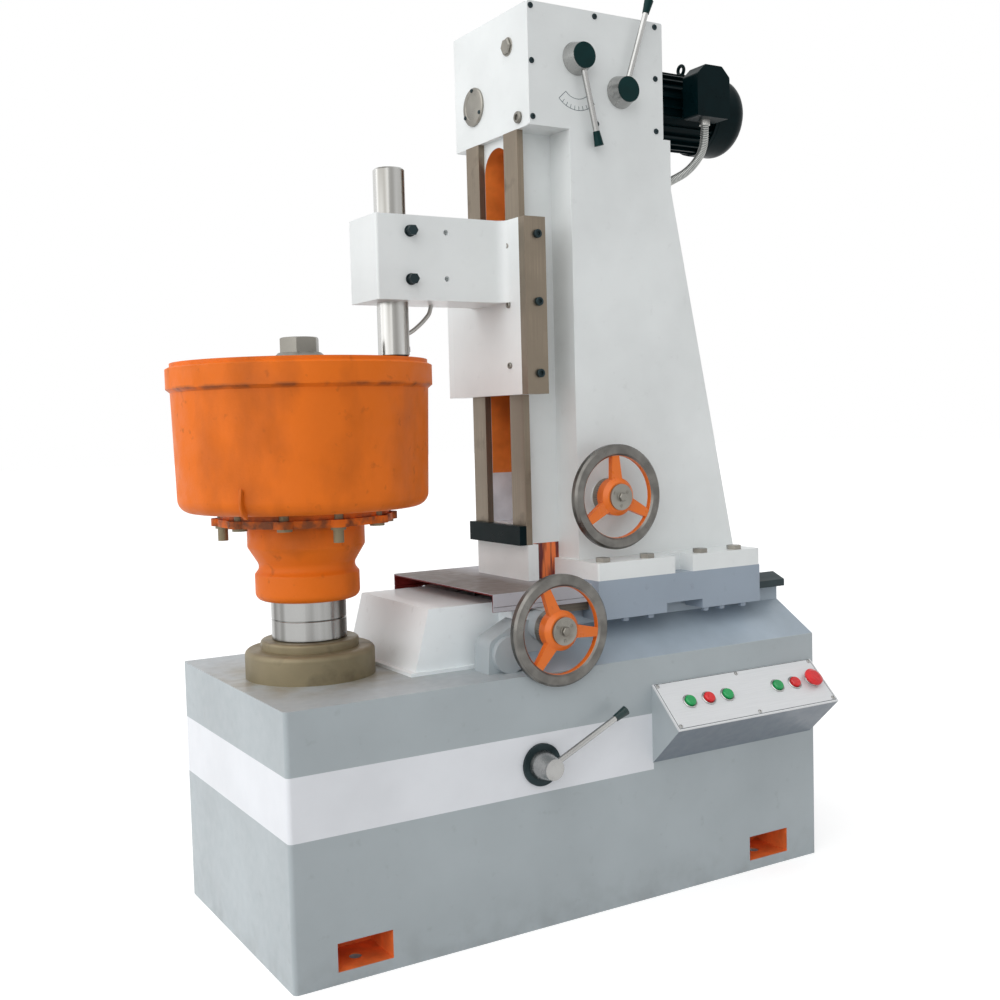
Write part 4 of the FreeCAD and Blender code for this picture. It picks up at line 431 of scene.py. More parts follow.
def piece(name, surfaces, finish, body):
    """One mesh from several surfaces, with poles merged and faces outwards, riding on a body."""
    points = []
    faces = []
    count = 0
    for where, quads in surfaces:
        points.append(where)
        faces.append(quads + count)
        count += len(where)
    mesh = bpy.data.meshes.new(name)
    mesh.from_pydata(np.concatenate(points).tolist(), [], np.concatenate(faces).tolist())
    work = bmesh.new()
    work.from_mesh(mesh)
    bmesh.ops.remove_doubles(work, verts=work.verts, dist=1e-6)
    bmesh.ops.recalc_face_normals(work, faces=work.faces)
    work.to_mesh(mesh)
    work.free()
    mesh.shade_smooth()
    mesh.set_sharp_from_angle(angle=math.radians(32))
    mesh.materials.append(FINISHES[finish])
    obj = bpy.data.objects.new(name, mesh)
    bpy.context.scene.collection.objects.link(obj)
    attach(obj, body)
    return obj


def painted(name, colour, dirt, rough=(0.34, 0.5), dirty=0.12, coat=0.15):
    """Sprayed machine paint: cloudy colour, small stains and a fine orange peel."""
    f = Finish(name)
    skin = f.grime(f.mottle(colour, 5.0, 0.93), dirt, 46.0, 0.64, 0.78, dirty)
    f.shader.inputs["Coat Weight"].default_value = coat
    return f, skin, rough


def metal(name, colour, rough, scale, stretch=None, dirt=None, metallic=1.0, depth=0.8, relief=0.16):
    """Worked metal: cloudy colour, tool marks drawn out along stretch, and some oil stain."""
    f = Finish(name)
    skin = f.mottle(colour, 9.0, depth)
    if stretch:
        lines = f.spread(f.noise(scale, 2.0, stretch), 0.3, 0.7)
        skin = f.mix(lines, shade(colour, depth), skin)
    if dirt:
        skin = f.grime(skin, dirt, 18.0, 0.56, 0.78, 0.7)
    f.close(skin, rough, scale, relief, metallic, stretch)
    return f


class BORER_OT_finishes(bpy.types.Operator):
    """Makes each paint, metal, rubber and plastic, and puts it on the solids that wear it"""

    bl_idname = "borer.finishes"
    bl_label = "Finishes"

    def execute(self, context):
        colours = context.scene.borer_colours
        hue = {key: linear(getattr(colours, key)) for key in BorerColours.__annotations__}
        self.paints(hue)
        self.metals(hue)
        self.plastics(hue)
        for finish, nodes in WEARS.items():
            for node in nodes:
                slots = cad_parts[node].data.materials
                slots.clear()
                slots.append(FINISHES[finish])
        return {"FINISHED"}

    def paints(self, hue):
        """Bed, head, column, saddle, drum and wheel paints, with their painted areas."""
        dirt = hue["grime"]
        self.bed_paint(hue, dirt)
        self.box_paint(hue, dirt)
        self.head_paints(hue, dirt)
        self.column_paint(hue, dirt)
        self.saddle_paint(hue, dirt)
        self.cover_paint(hue)
        self.drum_paint(hue, dirt)
        self.wheel_paints(hue, dirt)

    def bed_paint(self, hue, dirt):
        """Grey bed with a pale stripe, a bluer raised part, spindle oil and orange anchor pockets."""
        f, skin, rough = painted("bed_paint", hue["bed"], dirt)
        z = f.axis("Z")
        front = f.sum("LESS_THAN", f.axis("Y"), BED_FRONT)
        behind_box = f.both(front, f.sum("GREATER_THAN", f.axis("X"), PANEL_ENDS[0] + 0.002))
        stripe = f.both(f.within(z, *STRIPE_HEIGHTS), f.sum("SUBTRACT", 1.0, behind_box))
        skin = f.mix(stripe, skin, f.mottle(hue["stripe"], 6.0, 0.95))
        raised = f.sum("GREATER_THAN", z, RAISED_BED)
        skin = f.mix(raised, skin, f.mottle(hue["slope"], 8.0, 0.86))
        start = f.both(f.sum("LESS_THAN", f.axis("X"), BED_END[0]), f.sum("GREATER_THAN", z, BED_END[1]))
        skin = f.mix(start, skin, f.mottle(hue["end_cover"], 8.0, 0.95))
        near = f.spread(f.radius("X", "Y", SPINDLE_CENTRE), 0.24, 0.118)
        oil = f.both(near, f.spread(f.noise(16.0, 8.0), 0.34, 0.62), f.within(z, *DECK_HEIGHTS))
        skin = f.mix(f.sum("MULTIPLY", oil, 0.75), skin, hue["olive"])
        across = f.sum("ABSOLUTE", f.axis("Y"))
        along = f.sum("ABSOLUTE", f.axis("X"))
        pocket = f.both(
            f.within(along, *POCKET_ALONG), f.within(across, *POCKET_ACROSS),
            f.within(z, *POCKET_HEIGHTS),
        )
        skin = f.mix(pocket, skin, f.mottle(POCKET_ORANGE, 30.0, 0.7))
        low = f.sum("MULTIPLY", f.spread(z, 0.09, 0.0), f.spread(f.noise(24.0, 8.0), 0.42, 0.66))
        skin = f.mix(f.sum("MULTIPLY", low, 0.15), skin, dirt)
        f.close(skin, rough, 420.0, 0.22)

    def box_paint(self, hue, dirt):
        """Bed grey, with painted shade on the control box's underside."""
        f, skin, rough = painted("box_paint", hue["bed"], dirt)
        # Painted shade: below BOX_UNDERSIDE the control box's underside takes a shaded blue grey.
        under = f.both(
            f.within(f.axis("X"), PANEL_ENDS[0] + 0.0005, PANEL_ENDS[1] - 0.0005),
            f.sum("LESS_THAN", f.axis("Y"), BED_FRONT - 0.001),
            f.sum("LESS_THAN", f.axis("Z"), BOX_UNDERSIDE),
        )
        skin = f.mix(under, skin, shade(hue["saddle"], 0.55))
        f.close(skin, rough, 420.0, 0.2)

    def head_paints(self, hue, dirt):
        """Clean pale paints of the head and of the way cover."""
        f, skin, rough = painted("head_paint", hue["head"], dirt, (0.3, 0.46), 0.06, 0.25)
        f.close(skin, rough, 380.0, 0.2)
        f, skin, rough = painted("end_cover_paint", hue["end_cover"], dirt, (0.3, 0.46), 0.1, 0.2)
        f.close(skin, rough, 380.0, 0.2)

    def column_paint(self, hue, dirt):
        """Pale column with an orange slot, a pale plate low in it, and at the foot a recess of orange paint
        runs over dark red painted shade.
        """
        f, skin, rough = painted("column_paint", hue["head"], dirt, (0.3, 0.46), 0.06, 0.25)
        across = f.sum("ABSOLUTE", f.axis("Y"))
        recess = f.both(
            f.sum("LESS_THAN", across, RECESS_HALF_WIDTH), f.within(f.axis("X"), *RECESS_ALONG),
            f.within(f.axis("Z"), *RECESS_HEIGHTS),
        )
        slot = f.both(
            f.sum("LESS_THAN", across, SLOT_HALF_WIDTH), f.within(f.axis("X"), *SLOT_ALONG),
            f.within(f.axis("Z"), *SLOT_HEIGHTS),
        )
        skin = f.mix(slot, skin, f.mottle(SLOT_ORANGE, 20.0, 0.75))
        # Painted shade and paint runs: the recess mixes orange streaks with a darkened dark red that stands
        # for its shadow.
        runs = f.spread(f.noise(90.0, 3.0, (1.0, 1.0, 0.1)), 0.42, 0.6)
        skin = f.mix(recess, skin, f.mix(runs, shade(hue["inside"], 0.8), STREAK_ORANGE))
        plate = f.both(slot, f.sum("LESS_THAN", f.axis("Z"), SLOT_PLATE_TOP))
        skin = f.mix(plate, skin, f.mottle(hue["stripe"], 20.0, 0.8))
        f.close(skin, rough, 380.0, 0.2)

    def saddle_paint(self, hue, dirt):
        """Blue grey paint of the saddle and its keepers."""
        f, skin, rough = painted("saddle_paint", hue["saddle"], dirt, (0.32, 0.5), 0.15)
        f.close(skin, rough, 400.0, 0.22)

    def cover_paint(self, hue):
        """Dull sheet cover with painted shade: darker and browner towards its left end, and dark red
        underneath.
        """
        stain = shade(hue["cover"], 0.5)
        f, skin, rough = painted("cover_paint", hue["cover"], stain, (0.4, 0.56), 0.4, 0.0)
        f.shader.inputs["Specular IOR Level"].default_value = 0.15
        across = f.sum("ABSOLUTE", f.axis("Y"))
        # Painted shade: the underside and the skirts' insides take a dark red that stands for the orange
        # inside paint in shadow.
        low = f.sum("LESS_THAN", f.axis("Z"), COVER_UNDERSIDE)
        under = f.both(low, f.sum("LESS_THAN", across, COVER_HALF_WIDTH))
        top = f.sum("GREATER_THAN", f.axis("Z"), COVER_TOP)
        # Painted shade: the top is darkened with a brown towards its left end, where the cover lies in
        # shadow.
        away = f.both(f.spread(f.axis("X"), 0.03, -0.04, 0.0, 0.75), top)
        skin = f.mix(away, skin, shade(hue["grime"], 2.4))
        skin = f.mix(under, skin, f.mottle(hue["inside"], 20.0, 0.6))
        f.close(skin, rough, 400.0, 0.2)

    def drum_paint(self, hue, dirt):
        """Stained orange with dirt in its creases and bare turned iron in the bore."""
        stain = shade(hue["orange"], 0.35)
        f, skin, rough = painted("drum_paint", hue["orange"], stain, (0.4, 0.62), 0.5, 0.0)
        f.shader.inputs["Specular IOR Level"].default_value = 0.25
        streaks = f.spread(f.noise(9.0, 9.0, (1.0, 1.0, 0.5)), 0.48, 0.74, 0.0, 0.7)
        skin = f.mix(streaks, skin, shade(hue["orange"], 0.45))
        band_gap = f.sum("ABSOLUTE", f.sum("SUBTRACT", f.axis("Z"), DRUM_CREASE))
        crease = f.spread(band_gap, 0.001, 0.006, 0.6, 0.0)
        skin = f.mix(f.sum("MULTIPLY", crease, f.spread(f.noise(30.0, 6.0), 0.35, 0.6)), skin, dirt)
        reach = f.radius("X", "Y", SPINDLE_CENTRE)
        flange_gap = f.sum("ABSOLUTE", f.sum("SUBTRACT", f.axis("Z"), DRUM_FLANGE))
        flange = f.spread(flange_gap, 0.006, 0.016, 0.75, 0.0)
        skin = f.mix(f.sum("MULTIPLY", flange, f.spread(f.noise(40.0, 8.0), 0.4, 0.6)), skin, dirt)
        bored = f.both(f.sum("LESS_THAN", reach, DRUM_BORE[1]), f.within(f.axis("Z"), *DRUM_INSIDE))
        turned_iron = f.mottle(hue["iron"], 30.0, 0.7)
        skin = f.mix(f.both(bored, f.sum("GREATER_THAN", reach, DRUM_BORE[0])), skin, turned_iron)
        f.close(skin, rough, 240.0, 0.5)

    def wheel_paints(self, hue, dirt):
        """Orange spokes and bare rims of the hand wheels."""
        centres = {"upper_wheel_finish": UPPER_WHEEL_CENTRE, "lower_wheel_finish": LOWER_WHEEL_CENTRE}
        for name, centre in centres.items():
            f, skin, rough = painted(name, hue["orange"], dirt, (0.24, 0.42), 0.6, 0.0)
            rim = f.sum("GREATER_THAN", f.radius("X", "Z", centre), WHEEL_RIM)
            skin = f.mix(rim, skin, f.mottle(hue["rim"], 40.0, 0.7))
            f.close(skin, rough, 300.0, 0.2, rim)

    def metals(self, hue):
        """Ground ways, bright bars, oiled and cast iron, conduit, panel sheet and bronze."""
        dirt = hue["grime"]
        self.bed_way_steel(hue)
        self.keeper_finish(hue)
        metal("spindle_steel", hue["worn"], (0.26, 0.44), 300.0, None, dirt, 0.85, 0.6, 0.06)
        metal("column_way_steel", hue["way"], (0.28, 0.5), 300.0, (1.0, 1.0, 0.02), dirt, 0.75)
        metal("bright_steel", shade(hue["steel"], 0.8), (0.2, 0.3), 700.0, None, None, 1.0, 0.86, 0.01)
        self.bar_steel(hue)
        metal("olive_iron", hue["olive"], (0.4, 0.6), 260.0, None, dirt, 0.35)
        metal("dark_steel", hue["dark"], (0.34, 0.52), 320.0, None, None, 0.6, 0.7)
        metal("inner_iron", hue["iron"], (0.5, 0.7), 260.0, None, dirt, 0.4)
        metal("conduit_metal", hue["conduit"], (0.3, 0.46), 420.0, None, None, 0.9)
        self.conduit_ribbed(hue)
        self.panel_metal(hue)
        metal("bronze", hue["bronze"], (0.3, 0.5), 300.0, None, dirt)
        metal("engraved_black", shade(hue["dark"], 3.0), (0.5, 0.7), 500.0, None, None, 0.0, 0.7)

    def bed_way_steel(self, hue):
        """Ground bed ways with lines along them, painted pale on the left end and dark on the right."""
        f = Finish("bed_way_steel")
        lines = f.spread(f.noise(300.0, 2.0, (0.02, 1.0, 1.0)), 0.3, 0.7)
        skin = f.mix(lines, shade(hue["way"], 0.45), f.mottle(shade(hue["way"], 0.62), 9.0, 0.8))
        right_end = f.sum("GREATER_THAN", f.axis("X"), WAY_ENDS[1])
        skin = f.mix(right_end, skin, f.mottle(hue["dark"], 20.0, 0.7))
        left_end = f.sum("LESS_THAN", f.axis("X"), WAY_ENDS[0])
        skin = f.mix(left_end, skin, f.mottle(hue["end_cover"], 9.0, 0.9))
        f.close(skin, (0.34, 0.52), 300.0, 0.14, 0.3, (0.02, 1.0, 1.0))

    def keeper_finish(self, hue):
        """Bare ground keeper at the front and painted keeper at the back."""
        f = Finish("keeper_finish")
        back = f.sum("GREATER_THAN", f.axis("Y"), 0.0)
        lines = f.spread(f.noise(300.0, 2.0, (1.0, 1.0, 0.02)), 0.3, 0.7)
        bare = f.mix(lines, shade(hue["way"], 0.8), f.mottle(hue["way"], 12.0, 0.75))
        skin = f.mix(back, bare, f.mottle(hue["head"], 5.0, 0.95))
        f.close(skin, (0.3, 0.46), 300.0, 0.12, f.sum("MULTIPLY", f.sum("SUBTRACT", 1.0, back), 0.7))

    def bar_steel(self, hue):
        """Polished bars with soft upright bands of painted reflection, and painted shade as a darker copy
        on the spindle's nose.
        """
        f = Finish("bar_steel")
        # Painted reflection: upright bands between dark and bright steel stand for the room mirrored in the
        # bars.
        reflection_bands = f.spread(f.noise(30.0, 2.0, (1.0, 1.0, 0.02)), 0.38, 0.58)
        skin = f.mix(reflection_bands, shade(hue["worn"], 0.5), shade(hue["steel"], 1.2))
        # Painted shade: below NOSE_TOP the bars take a darker copy of the bands.
        shaded_nose = f.mix(reflection_bands, shade(hue["worn"], 0.3), shade(hue["steel"], 0.72))
        skin = f.mix(f.sum("LESS_THAN", f.axis("Z"), NOSE_TOP), skin, shaded_nose)
        f.close(skin, (0.18, 0.3), 300.0, 0.004, 1.0, (1.0, 1.0, 0.05))

    def conduit_ribbed(self, hue):
        """Conduit metal with painted shade in its grooves, by the groove depth that the mesh keeps."""
        f = Finish("conduit_ribbed")
        groove = f.nodes.new("ShaderNodeAttribute")
        groove.attribute_name = "groove"
        # Painted shade: the deeper the groove, the darker the conduit there.
        groove_shade = f.spread(groove.outputs["Fac"], 0.35, 1.0)
        skin = f.mix(groove_shade, f.mottle(hue["conduit"], 40.0, 0.85), shade(hue["dark"], 1.4))
        f.close(skin, (0.26, 0.4), 420.0, 0.05, 0.85)

    def panel_metal(self, hue):
        """Brushed panel sheet with a thin dark line inside its edge."""
        f = Finish("panel_metal")
        lines = f.spread(f.noise(600.0, 2.0, (0.03, 1.0, 1.0)), 0.3, 0.7)
        skin = f.mix(lines, shade(hue["panel"], 0.94), hue["panel"])
        across = f.sum("MULTIPLY", f.sum("SUBTRACT", f.axis("Y"), PANEL_EDGE[0]), math.cos(PANEL_TILT))
        rise = f.sum("MULTIPLY", f.sum("SUBTRACT", f.axis("Z"), PANEL_EDGE[1]), math.sin(PANEL_TILT))
        run = f.sum("ADD", across, rise)
        inset = f.sum("MINIMUM", run, f.sum("SUBTRACT", PANEL_WIDTH, run))
        left_gap = f.sum("SUBTRACT", f.axis("X"), PANEL_ENDS[0])
        right_gap = f.sum("SUBTRACT", PANEL_ENDS[1], f.axis("X"))
        ends = f.sum("MINIMUM", left_gap, right_gap)
        line = f.within(f.sum("MINIMUM", inset, ends), 0.0034, 0.0046)
        f.close(f.mix(line, skin, hue["dark"]), (0.3, 0.46), 600.0, 0.08, 0.2, (0.03, 1.0, 1.0))

    def plastics(self, hue):
        """Gloss enamel, grips, belt and buttons."""
        for name, key, rough, gloss in (
            ("black_enamel", "enamel", (0.26, 0.4), 0.06),
            ("black_plastic", "plastic", (0.28, 0.42), 0.1),
            ("belt_rubber", "rubber", (0.6, 0.8), 0.2),
            ("green_plastic", "green", (0.2, 0.34), 0.5),
            ("red_plastic", "red", (0.2, 0.34), 0.5),
        ):
            f = Finish(name)
            f.shader.inputs["Specular IOR Level"].default_value = gloss
            f.close(f.mottle(hue[key], 30.0, 0.82), rough, 500.0, 0.12)
        f = Finish("speed_grip")
        boss = f.sum("LESS_THAN", f.radius("X", "Z", SPEED_LEVER_CENTRE), LEVER_BOSS)
        bright = f.mottle(shade(hue["steel"], 0.72), 30.0, 0.85)
        skin = f.mix(boss, f.mottle(hue["plastic"], 30.0, 0.82), bright)
        f.close(skin, (0.22, 0.36), 500.0, 0.03, boss)


class BORER_OT_conduit(bpy.types.Operator):
    """Ribbed conduit from the terminal box to the column"""

    bl_idname = "borer.conduit"
    bl_label = "Motor conduit"

    def execute(self, context):
        sizes = context.scene.borer_sizes
        route = ((436, 1497), (436, 1469), (427, 1440), (406, 1415), (382, 1396), (358, 1384), (337, 1374))
        curve = bpy.data.curves.new("conduit_route", "CURVE")
        curve.dimensions = "3D"
        curve.resolution_u = 96
        spline = curve.splines.new("NURBS")
        spline.points.add(len(route) - 1)
        for point, (x, z) in zip(spline.points, route):
            point.co = (x * MM, -113 * MM, z * MM, 1.0)
        spline.order_u = 3
        spline.use_endpoint_u = True
        holder = bpy.data.objects.new("conduit_route", curve)
        line = bpy.data.meshes.new_from_object(holder)
        path = np.empty(len(line.vertices) * 3)
        line.vertices.foreach_get("co", path)
        path = path.reshape(-1, 3)
        bpy.data.objects.remove(holder)
        bpy.data.meshes.remove(line)
        step = np.linalg.norm(np.diff(path, axis=0), axis=1)
        run = np.concatenate(((0.0,), np.cumsum(step)))
        tube = self.tube(path, run, sizes)
        obj = piece("conduit", [tube], "conduit_ribbed", "column_slide")
        self.mark_grooves(obj.data, path, run, sizes)
        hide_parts("motor_conduit")
        return {"FINISHED"}

    def mark_grooves(self, mesh, path, run, sizes):
        """Depth of the groove at each vertex, 0.5 (1 - cos(2 pi n s / L)), kept for the finish's painted
        shade.
        """
        where = np.empty(len(mesh.vertices) * 3)
        mesh.vertices.foreach_get("co", where)
        away = np.linalg.norm(where.reshape(-1, 1, 3) - path[None], axis=2)
        s = run[np.argmin(away, axis=1)]
        depth = 0.5 * (1 - np.cos(math.tau * sizes.ribs * s / run[-1]))
        mesh.attributes.new("groove", "FLOAT", "POINT").data.foreach_set("value", depth)

    def tube(self, path, run, sizes):
        """Tube round a path: radius = R - d/2 (1 - cos(2 pi n s / L)) at run s, with a pole at each end."""
        ahead = np.gradient(path, run, axis=0)
        ahead = ahead / np.linalg.norm(ahead, axis=1, keepdims=True)
        across = np.array((0.0, 1.0, 0.0))
        out = np.cross(ahead, across)
        wave = 0.5 * (1 - np.cos(math.tau * sizes.ribs * run / run[-1]))
        r = (CONDUIT_RADIUS * MM - sizes.rib * wave)[:, None, None]
        a = np.linspace(0.0, math.tau, CONDUIT_SIDES, endpoint=False)[None, :, None]
        points = path[:, None] + r * (np.cos(a) * out[:, None] + np.sin(a) * across)
        first = np.repeat(path[:1][:, None], CONDUIT_SIDES, axis=1)
        last = np.repeat(path[-1:][:, None], CONDUIT_SIDES, axis=1)
        return quads_over(np.concatenate((first, points, last)))


class BORER_OT_head_fittings(bpy.types.Operator):
    """Oil plug, round cover, small plug, plate screws and the left lever's scale on the head"""

    bl_idname = "borer.head_fittings"
    bl_label = "Head fittings"

    def execute(self, context):
        sizes = context.scene.borer_sizes
        plugs = hexagon_head((HEAD_END, -68.7, 1608), LEFT, sizes.plug / MM, 7)
        r = sizes.level / MM / 2
        small = [(0, -1), (r, -1), (r, 4), (r - 1.5, 6), (r * 0.5, 6), (r * 0.45, 3), (0, 3)]
        plugs.append(turned(small, (HEAD_END, -103, 1470), LEFT))
        piece("head_plugs", plugs, "spindle_steel", "column_slide")
        r = sizes.cover / MM / 2
        middle = (61, 1525.6)
        rim = [(0, -1), (r, -1), (r, 3), (r - 2, 5), (r * 0.72, 5.4)]
        lid = turned(rim + [(r * 0.68, 4.2), (r * 0.2, 4.6), (0, 4.6)], (HEAD_END, *middle), LEFT, 64)
        piece("head_cover", [lid], "spindle_steel", "column_slide")
        screws = []
        for k in range(3):
            a = math.radians(90 + 120 * k)
            where = (HEAD_END - 5, middle[0] + 0.85 * r * math.cos(a), middle[1] + 0.85 * r * math.sin(a))
            screws.append(pan_screw(where, LEFT, 8, 2.2))
        for x in (2, 146, 289):
            for z in (1465, 1566, 1665):
                if (x, z) != (146, 1566):
                    screws.append(pan_screw((x, PLATE_FRONT, z), FRONT, sizes.plate_screw / MM, 2.6))
        piece("head_screws", screws, "dark_steel", "column_slide")
        self.scale()
        return {"FINISHED"}

    def scale(self):
        """Scale of the left lever: two arcs of short lines, a long line at each end and ticks between."""
        ticks = []
        for k in range(SCALE_TICKS):
            a = math.radians(SCALE_START + SCALE_STEP * k)
            out = (math.cos(a), 0, math.sin(a))
            side = (math.sin(a), 0, -math.cos(a))
            for reach in SCALE_ARCS:
                if k < SCALE_TICKS - 1:
                    b = a + math.radians(SCALE_STEP / 2)
                    ahead = (math.cos(b), 0, math.sin(b))
                    flank = (math.sin(b), 0, -math.cos(b))
                    length = reach * math.radians(SCALE_STEP + 0.2)
                    ticks.append(self.mark(reach, ahead, flank, ahead, length))
            if k in (0, SCALE_TICKS - 1):
                ticks.append(self.mark(45.5, out, out, side, 21))
            else:
                ticks.append(self.mark(52, out, out, side, 7))
        piece("lever_scale", ticks, "engraved_black", "column_slide")

    def mark(self, reach, out, along, across, length):
        """One thin line of the scale, at a reach from the centre of its arcs."""
        up = np.cross(along, across)[1]
        where = (SCALE_CENTRE[0] + reach * out[0], PLATE_FRONT, SCALE_CENTRE[1] + reach * out[2])
        return strip(where, along, across, length, 1.0, -0.3 * np.sign(up))


class BORER_OT_casting_rib(bpy.types.Operator):
    """Short rib that the mould left on the drum's lower corner"""

    bl_idname = "borer.casting_rib"
    bl_label = "Casting rib"

    def execute(self, context):
        a = math.radians(221)
        out = np.array((math.cos(a), math.sin(a), 0.0))
        side = np.array((-math.sin(a), math.cos(a), 0.0))
        # Rib = path of reach and height, with a crowned section that fades at both ends.
        reach = np.array((212.0, 221.0, 226.0, 228.0, 227.6))[:, None, None]
        height = np.array((755.0, 763.0, 774.0, 790.0, 806.0))[:, None, None]
        proud = np.array((0.0, 3.5, 4.5, 3.5, 0.0))[:, None, None]
        across = np.array((-4.0, -2.4, 0.0, 2.4, 4.0, 0.0))[None, :, None]
        lift = np.array((-2.0, 0.7, 1.0, 0.7, -2.0, -2.5))[None, :, None]
        centre = np.array((-415.0, 0.0, 0.0))
        points = centre + (reach + proud * lift) * out + across * side + height * np.array(UP)
        ends = [np.repeat(points[k:k + 1].mean(axis=1, keepdims=True), 6, axis=1) for k in (0, 4)]
        grid = np.concatenate((ends[0], points, ends[1])) * MM
        piece("casting_rib", [quads_over(grid)], "drum_paint", "spindle")
        return {"FINISHED"}


class BORER_OT_carriage_screws(bpy.types.Operator):
    """Socket screws of the carriage's keepers and set screws of its gib"""

    bl_idname = "borer.carriage_screws"
    bl_label = "Carriage screws"

    def execute(self, context):
        d = context.scene.borer_sizes.keeper_screw / MM
        screws = []
        for side in (-1, 1):
            for z in (1249, 1125, 993):
                screws.append(socket_screw((-2, 150 * side, z), (0, side, 0), d, 7))
        piece("carriage_screws", screws, "dark_steel", "carriage_slide")
        gib = [socket_screw((-29, -90, z), LEFT, d * 0.75, 4) for z in (1233, 1123.5, 1010)]
        piece("gib_screws", gib, "spindle_steel", "carriage_slide")
        return {"FINISHED"}


class BORER_OT_saddle_screws(bpy.types.Operator):
    """Hexagon screws that hold the saddle's keepers from below"""

    bl_idname = "borer.saddle_screws"
    bl_label = "Saddle screws"

    def execute(self, context):
        flats = context.scene.borer_sizes.saddle_screw / MM
        heads = []
        for side in (-1, 1):
            for x in (139, 199, 336, 377, 433):
                heads += hexagon_head((x, 209 * side, 529.9), DOWN, flats, 8)
        piece("saddle_screws", heads, "saddle_paint", "column_slide")
        return {"FINISHED"}


class BORER_OT_cover_hem(bpy.types.Operator):
    """Rolled hem along the lower edge of the sheet cover's two skirts"""

    bl_idname = "borer.cover_hem"
    bl_label = "Cover hem"

    def execute(self, context):
        hems = []
        for side in (-1, 1):
            middle = (-37, 197.1 * side, 569)
            hems.append(strip(middle, (-side, 0, 0), UP, 216, 10, 2.9))
        piece("cover_hem", hems, "cover_paint", "column_slide")
        return {"FINISHED"}


class BORER_OT_wheel_fittings(bpy.types.Operator):
    """Hub bolt, hub screws and dial lines of each hand wheel"""

    bl_idname = "borer.wheel_fittings"
    bl_label = "Hand wheel fittings"

    def execute(self, context):
        for body, (x, y, z) in (("upper_wheel", (140, -188, 757)), ("lower_wheel", (-55, -277, 534))):
            face = y - 17
            bolts = hexagon_head((x, face, z), FRONT, 15, 7)
            for k in range(3):
                a = math.radians(30 + 120 * k)
                bolts.append(pan_screw((x + 17 * math.cos(a), face, z + 17 * math.sin(a)), FRONT, 6, 1.6))
            piece(body + "_bolts", bolts, "spindle_steel", body)
            lines = []
            for k in range(WHEEL_LINES):
                a = math.tau * k / WHEEL_LINES
                long = 9 if k % 5 == 0 else 5
                side = (-math.sin(a), 0, math.cos(a))
                where = (x + 35 * math.cos(a), y + 14 + long / 2, z + 35 * math.sin(a))
                lines.append(strip(where, (0, 1, 0), side, long, 0.7, 0.25))
            piece(body + "_dial_lines", lines, "engraved_black", body)
        return {"FINISHED"}


class BORER_OT_panel_fittings(bpy.types.Operator):
    """Rings round the buttons and screws of the control panel"""

    bl_idname = "borer.panel_fittings"
    bl_label = "Panel fittings"

    def execute(self, context):
        r = context.scene.borer_sizes.bezel / MM / 2
        along = (math.cos(PANEL_TILT), math.sin(PANEL_TILT))
        out = (0, -along[1], along[0])
        rings = []
        for x in (215, 261, 307, 436, 482, 528):
            outside = [(11.6, -0.5), (r, -0.5), (r, 1.4), (r - 1.2, 2.6)]
            inside = [(12.6, 2.6), (11.6, 1.8), (11.6, -0.5)]
            rings.append(turned(outside + inside, (x, -304.2, 373.3), out, 40))
        piece("button_rings", rings, "bright_steel", "base")
        screws = []
        for x in (164, 357, 551):
            for run in (9, 100):
                where = (x, PANEL_EDGE[0] / MM + run * along[0], PANEL_EDGE[1] / MM + run * along[1])
                screws.append(pan_screw(where, out, 8, 2))
        piece("panel_screws", screws, "bright_steel", "base")
        return {"FINISHED"}


class BORER_OT_lifting_eye(bpy.types.Operator):
    """Lifting eye on top of the feed motor"""

    bl_idname = "borer.lifting_eye"
    bl_label = "Lifting eye"

    def execute(self, context):
        middle = context.scene.borer_sizes.eye / MM / 2
        collar = [(0, -6), (10, -6), (10, 4), (8, 6), (5, 7), (0, 7)]
        base = turned(collar, (470, 0, 1624), UP)
        loop = ring((470, 0, 1630 + middle), (1, 0, 0), middle, 3.6)
        piece("lifting_eye", [base, loop], "black_enamel", "column_slide")
        return {"FINISHED"}


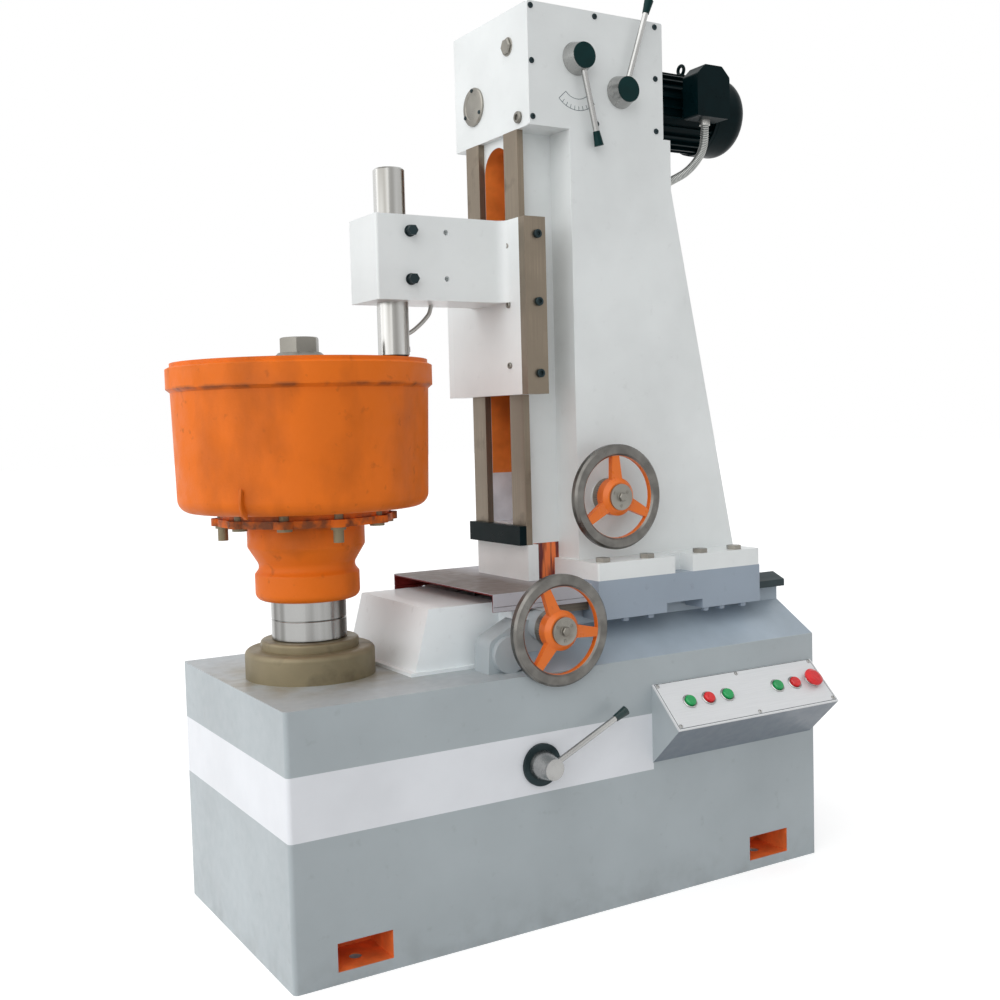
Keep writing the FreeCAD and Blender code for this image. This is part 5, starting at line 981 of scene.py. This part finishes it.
class BORER_OT_stage(bpy.types.Operator):
    """Pale floor, soft light and the camera"""

    bl_idname = "borer.stage"
    bl_label = "Stage"

    def execute(self, context):
        self.floor(context)
        self.light(context)
        self.camera(context)
        return {"FINISHED"}

    def floor(self, context):
        """Wide flat sheet under the machine: a grid over x and y at height zero."""
        x, y = np.meshgrid(np.linspace(-30.0, 30.0, 9), np.linspace(-30.0, 30.0, 9))
        points, faces = quads_over(np.stack((x, y, np.zeros_like(x)), axis=-1), close_u=False)
        mesh = bpy.data.meshes.new("floor")
        mesh.from_pydata(points.tolist(), [], faces.tolist())
        f = Finish("floor_paper")
        f.close(f.mottle((0.6, 0.6, 0.6, 1.0), 1.5, 0.995), (0.9, 0.95), 60.0, 0.0)
        path = f.nodes.new("ShaderNodeLightPath")
        seen = f.sum("MAXIMUM", path.outputs["Is Camera Ray"], path.outputs["Is Glossy Ray"])
        seen = f.sum("MAXIMUM", seen, path.outputs["Is Transmission Ray"])
        f.shader.inputs["Emission Color"].default_value = (1.0, 1.0, 1.0, 1.0)
        f.put(f.shader.inputs["Emission Strength"], f.sum("MULTIPLY", seen, 0.6))
        f.shader.inputs["Specular IOR Level"].default_value = 0.0
        mesh.materials.append(f.material)
        floor = bpy.data.objects.new("floor", mesh)
        context.scene.collection.objects.link(floor)

    def light(self, context):
        """A pale sky that eyes and mirrors see as white, and one soft lamp from the left."""
        scene = context.scene
        scene.view_settings.view_transform = "Standard"
        world = bpy.data.worlds.new("studio")
        scene.world = world
        world.use_nodes = True
        nodes = world.node_tree.nodes
        links = world.node_tree.links
        sky = nodes["Background"]
        sky.inputs["Color"].default_value = (1.0, 1.0, 1.0, 1.0)
        path = nodes.new("ShaderNodeLightPath")
        seen = path.outputs["Is Camera Ray"]
        for name in ("Is Glossy Ray", "Is Transmission Ray"):
            either = nodes.new("ShaderNodeMath")
            either.operation = "MAXIMUM"
            links.new(seen, either.inputs[0])
            links.new(path.outputs[name], either.inputs[1])
            seen = either.outputs[0]
        level = nodes.new("ShaderNodeMapRange")
        links.new(seen, level.inputs["Value"])
        level.inputs["To Min"].default_value = 0.56
        level.inputs["To Max"].default_value = 1.0
        links.new(level.outputs[0], sky.inputs["Strength"])
        lamp = bpy.data.lights.new("window", "SUN")
        lamp.energy = 2.3
        lamp.angle = math.radians(100)
        window = bpy.data.objects.new("window", lamp)
        window.rotation_euler = Vector(LAMP_HEADING).to_track_quat("-Z", "Y").to_euler()
        scene.collection.objects.link(window)

    def camera(self, context):
        """Camera at the eye's place, from its forward and right directions."""
        ahead = Vector(AHEAD).normalized()
        right = Vector(RIGHT)
        right = (right - ahead * right.dot(ahead)).normalized()
        up = right.cross(ahead)
        lens = bpy.data.cameras.new("view")
        lens.sensor_width = 36.0
        lens.lens = LENS
        lens.clip_start = 0.05
        lens.clip_end = 200.0
        camera = bpy.data.objects.new("view", lens)
        turn = Matrix((right, up, -ahead)).transposed().to_4x4()
        camera.matrix_world = Matrix.Translation(Vector(EYE)) @ turn
        context.scene.collection.objects.link(camera)
        context.scene.camera = camera


OPERATORS = (
    BORER_OT_finishes,
    BORER_OT_conduit,
    BORER_OT_head_fittings,
    BORER_OT_casting_rib,
    BORER_OT_carriage_screws,
    BORER_OT_saddle_screws,
    BORER_OT_cover_hem,
    BORER_OT_wheel_fittings,
    BORER_OT_panel_fittings,
    BORER_OT_lifting_eye,
    BORER_OT_stage,
)


class BORER_PT_pieces(bpy.types.Panel):
    """Sizes, colours and pieces of the boring machine"""

    bl_idname = "BORER_PT_pieces"
    bl_label = "Boring machine"
    bl_space_type = "VIEW_3D"
    bl_region_type = "UI"
    bl_category = "Boring machine"

    def draw(self, context):
        for group in (context.scene.borer_sizes, context.scene.borer_colours):
            for key in type(group).__annotations__:
                self.layout.prop(group, key)
        for operator in OPERATORS:
            self.layout.operator(operator.bl_idname)


CLASSES = (BorerColours, BorerSizes, *OPERATORS, BORER_PT_pieces)


def register():
    """Registers the classes and hangs the sizes and colours on the scene."""
    for cls in CLASSES:
        bpy.utils.register_class(cls)
    bpy.types.Scene.borer_colours = PointerProperty(type=BorerColours)
    bpy.types.Scene.borer_sizes = PointerProperty(type=BorerSizes)


def unregister():
    """Takes away what register added."""
    del bpy.types.Scene.borer_sizes
    del bpy.types.Scene.borer_colours
    for cls in reversed(CLASSES):
        bpy.utils.unregister_class(cls)


def main():
    """Makes every piece in order."""
    register()
    for operator in OPERATORS:
        group, name = operator.bl_idname.split(".")
        getattr(getattr(bpy.ops, group), name)()


if __name__ == "__main__":
    main()
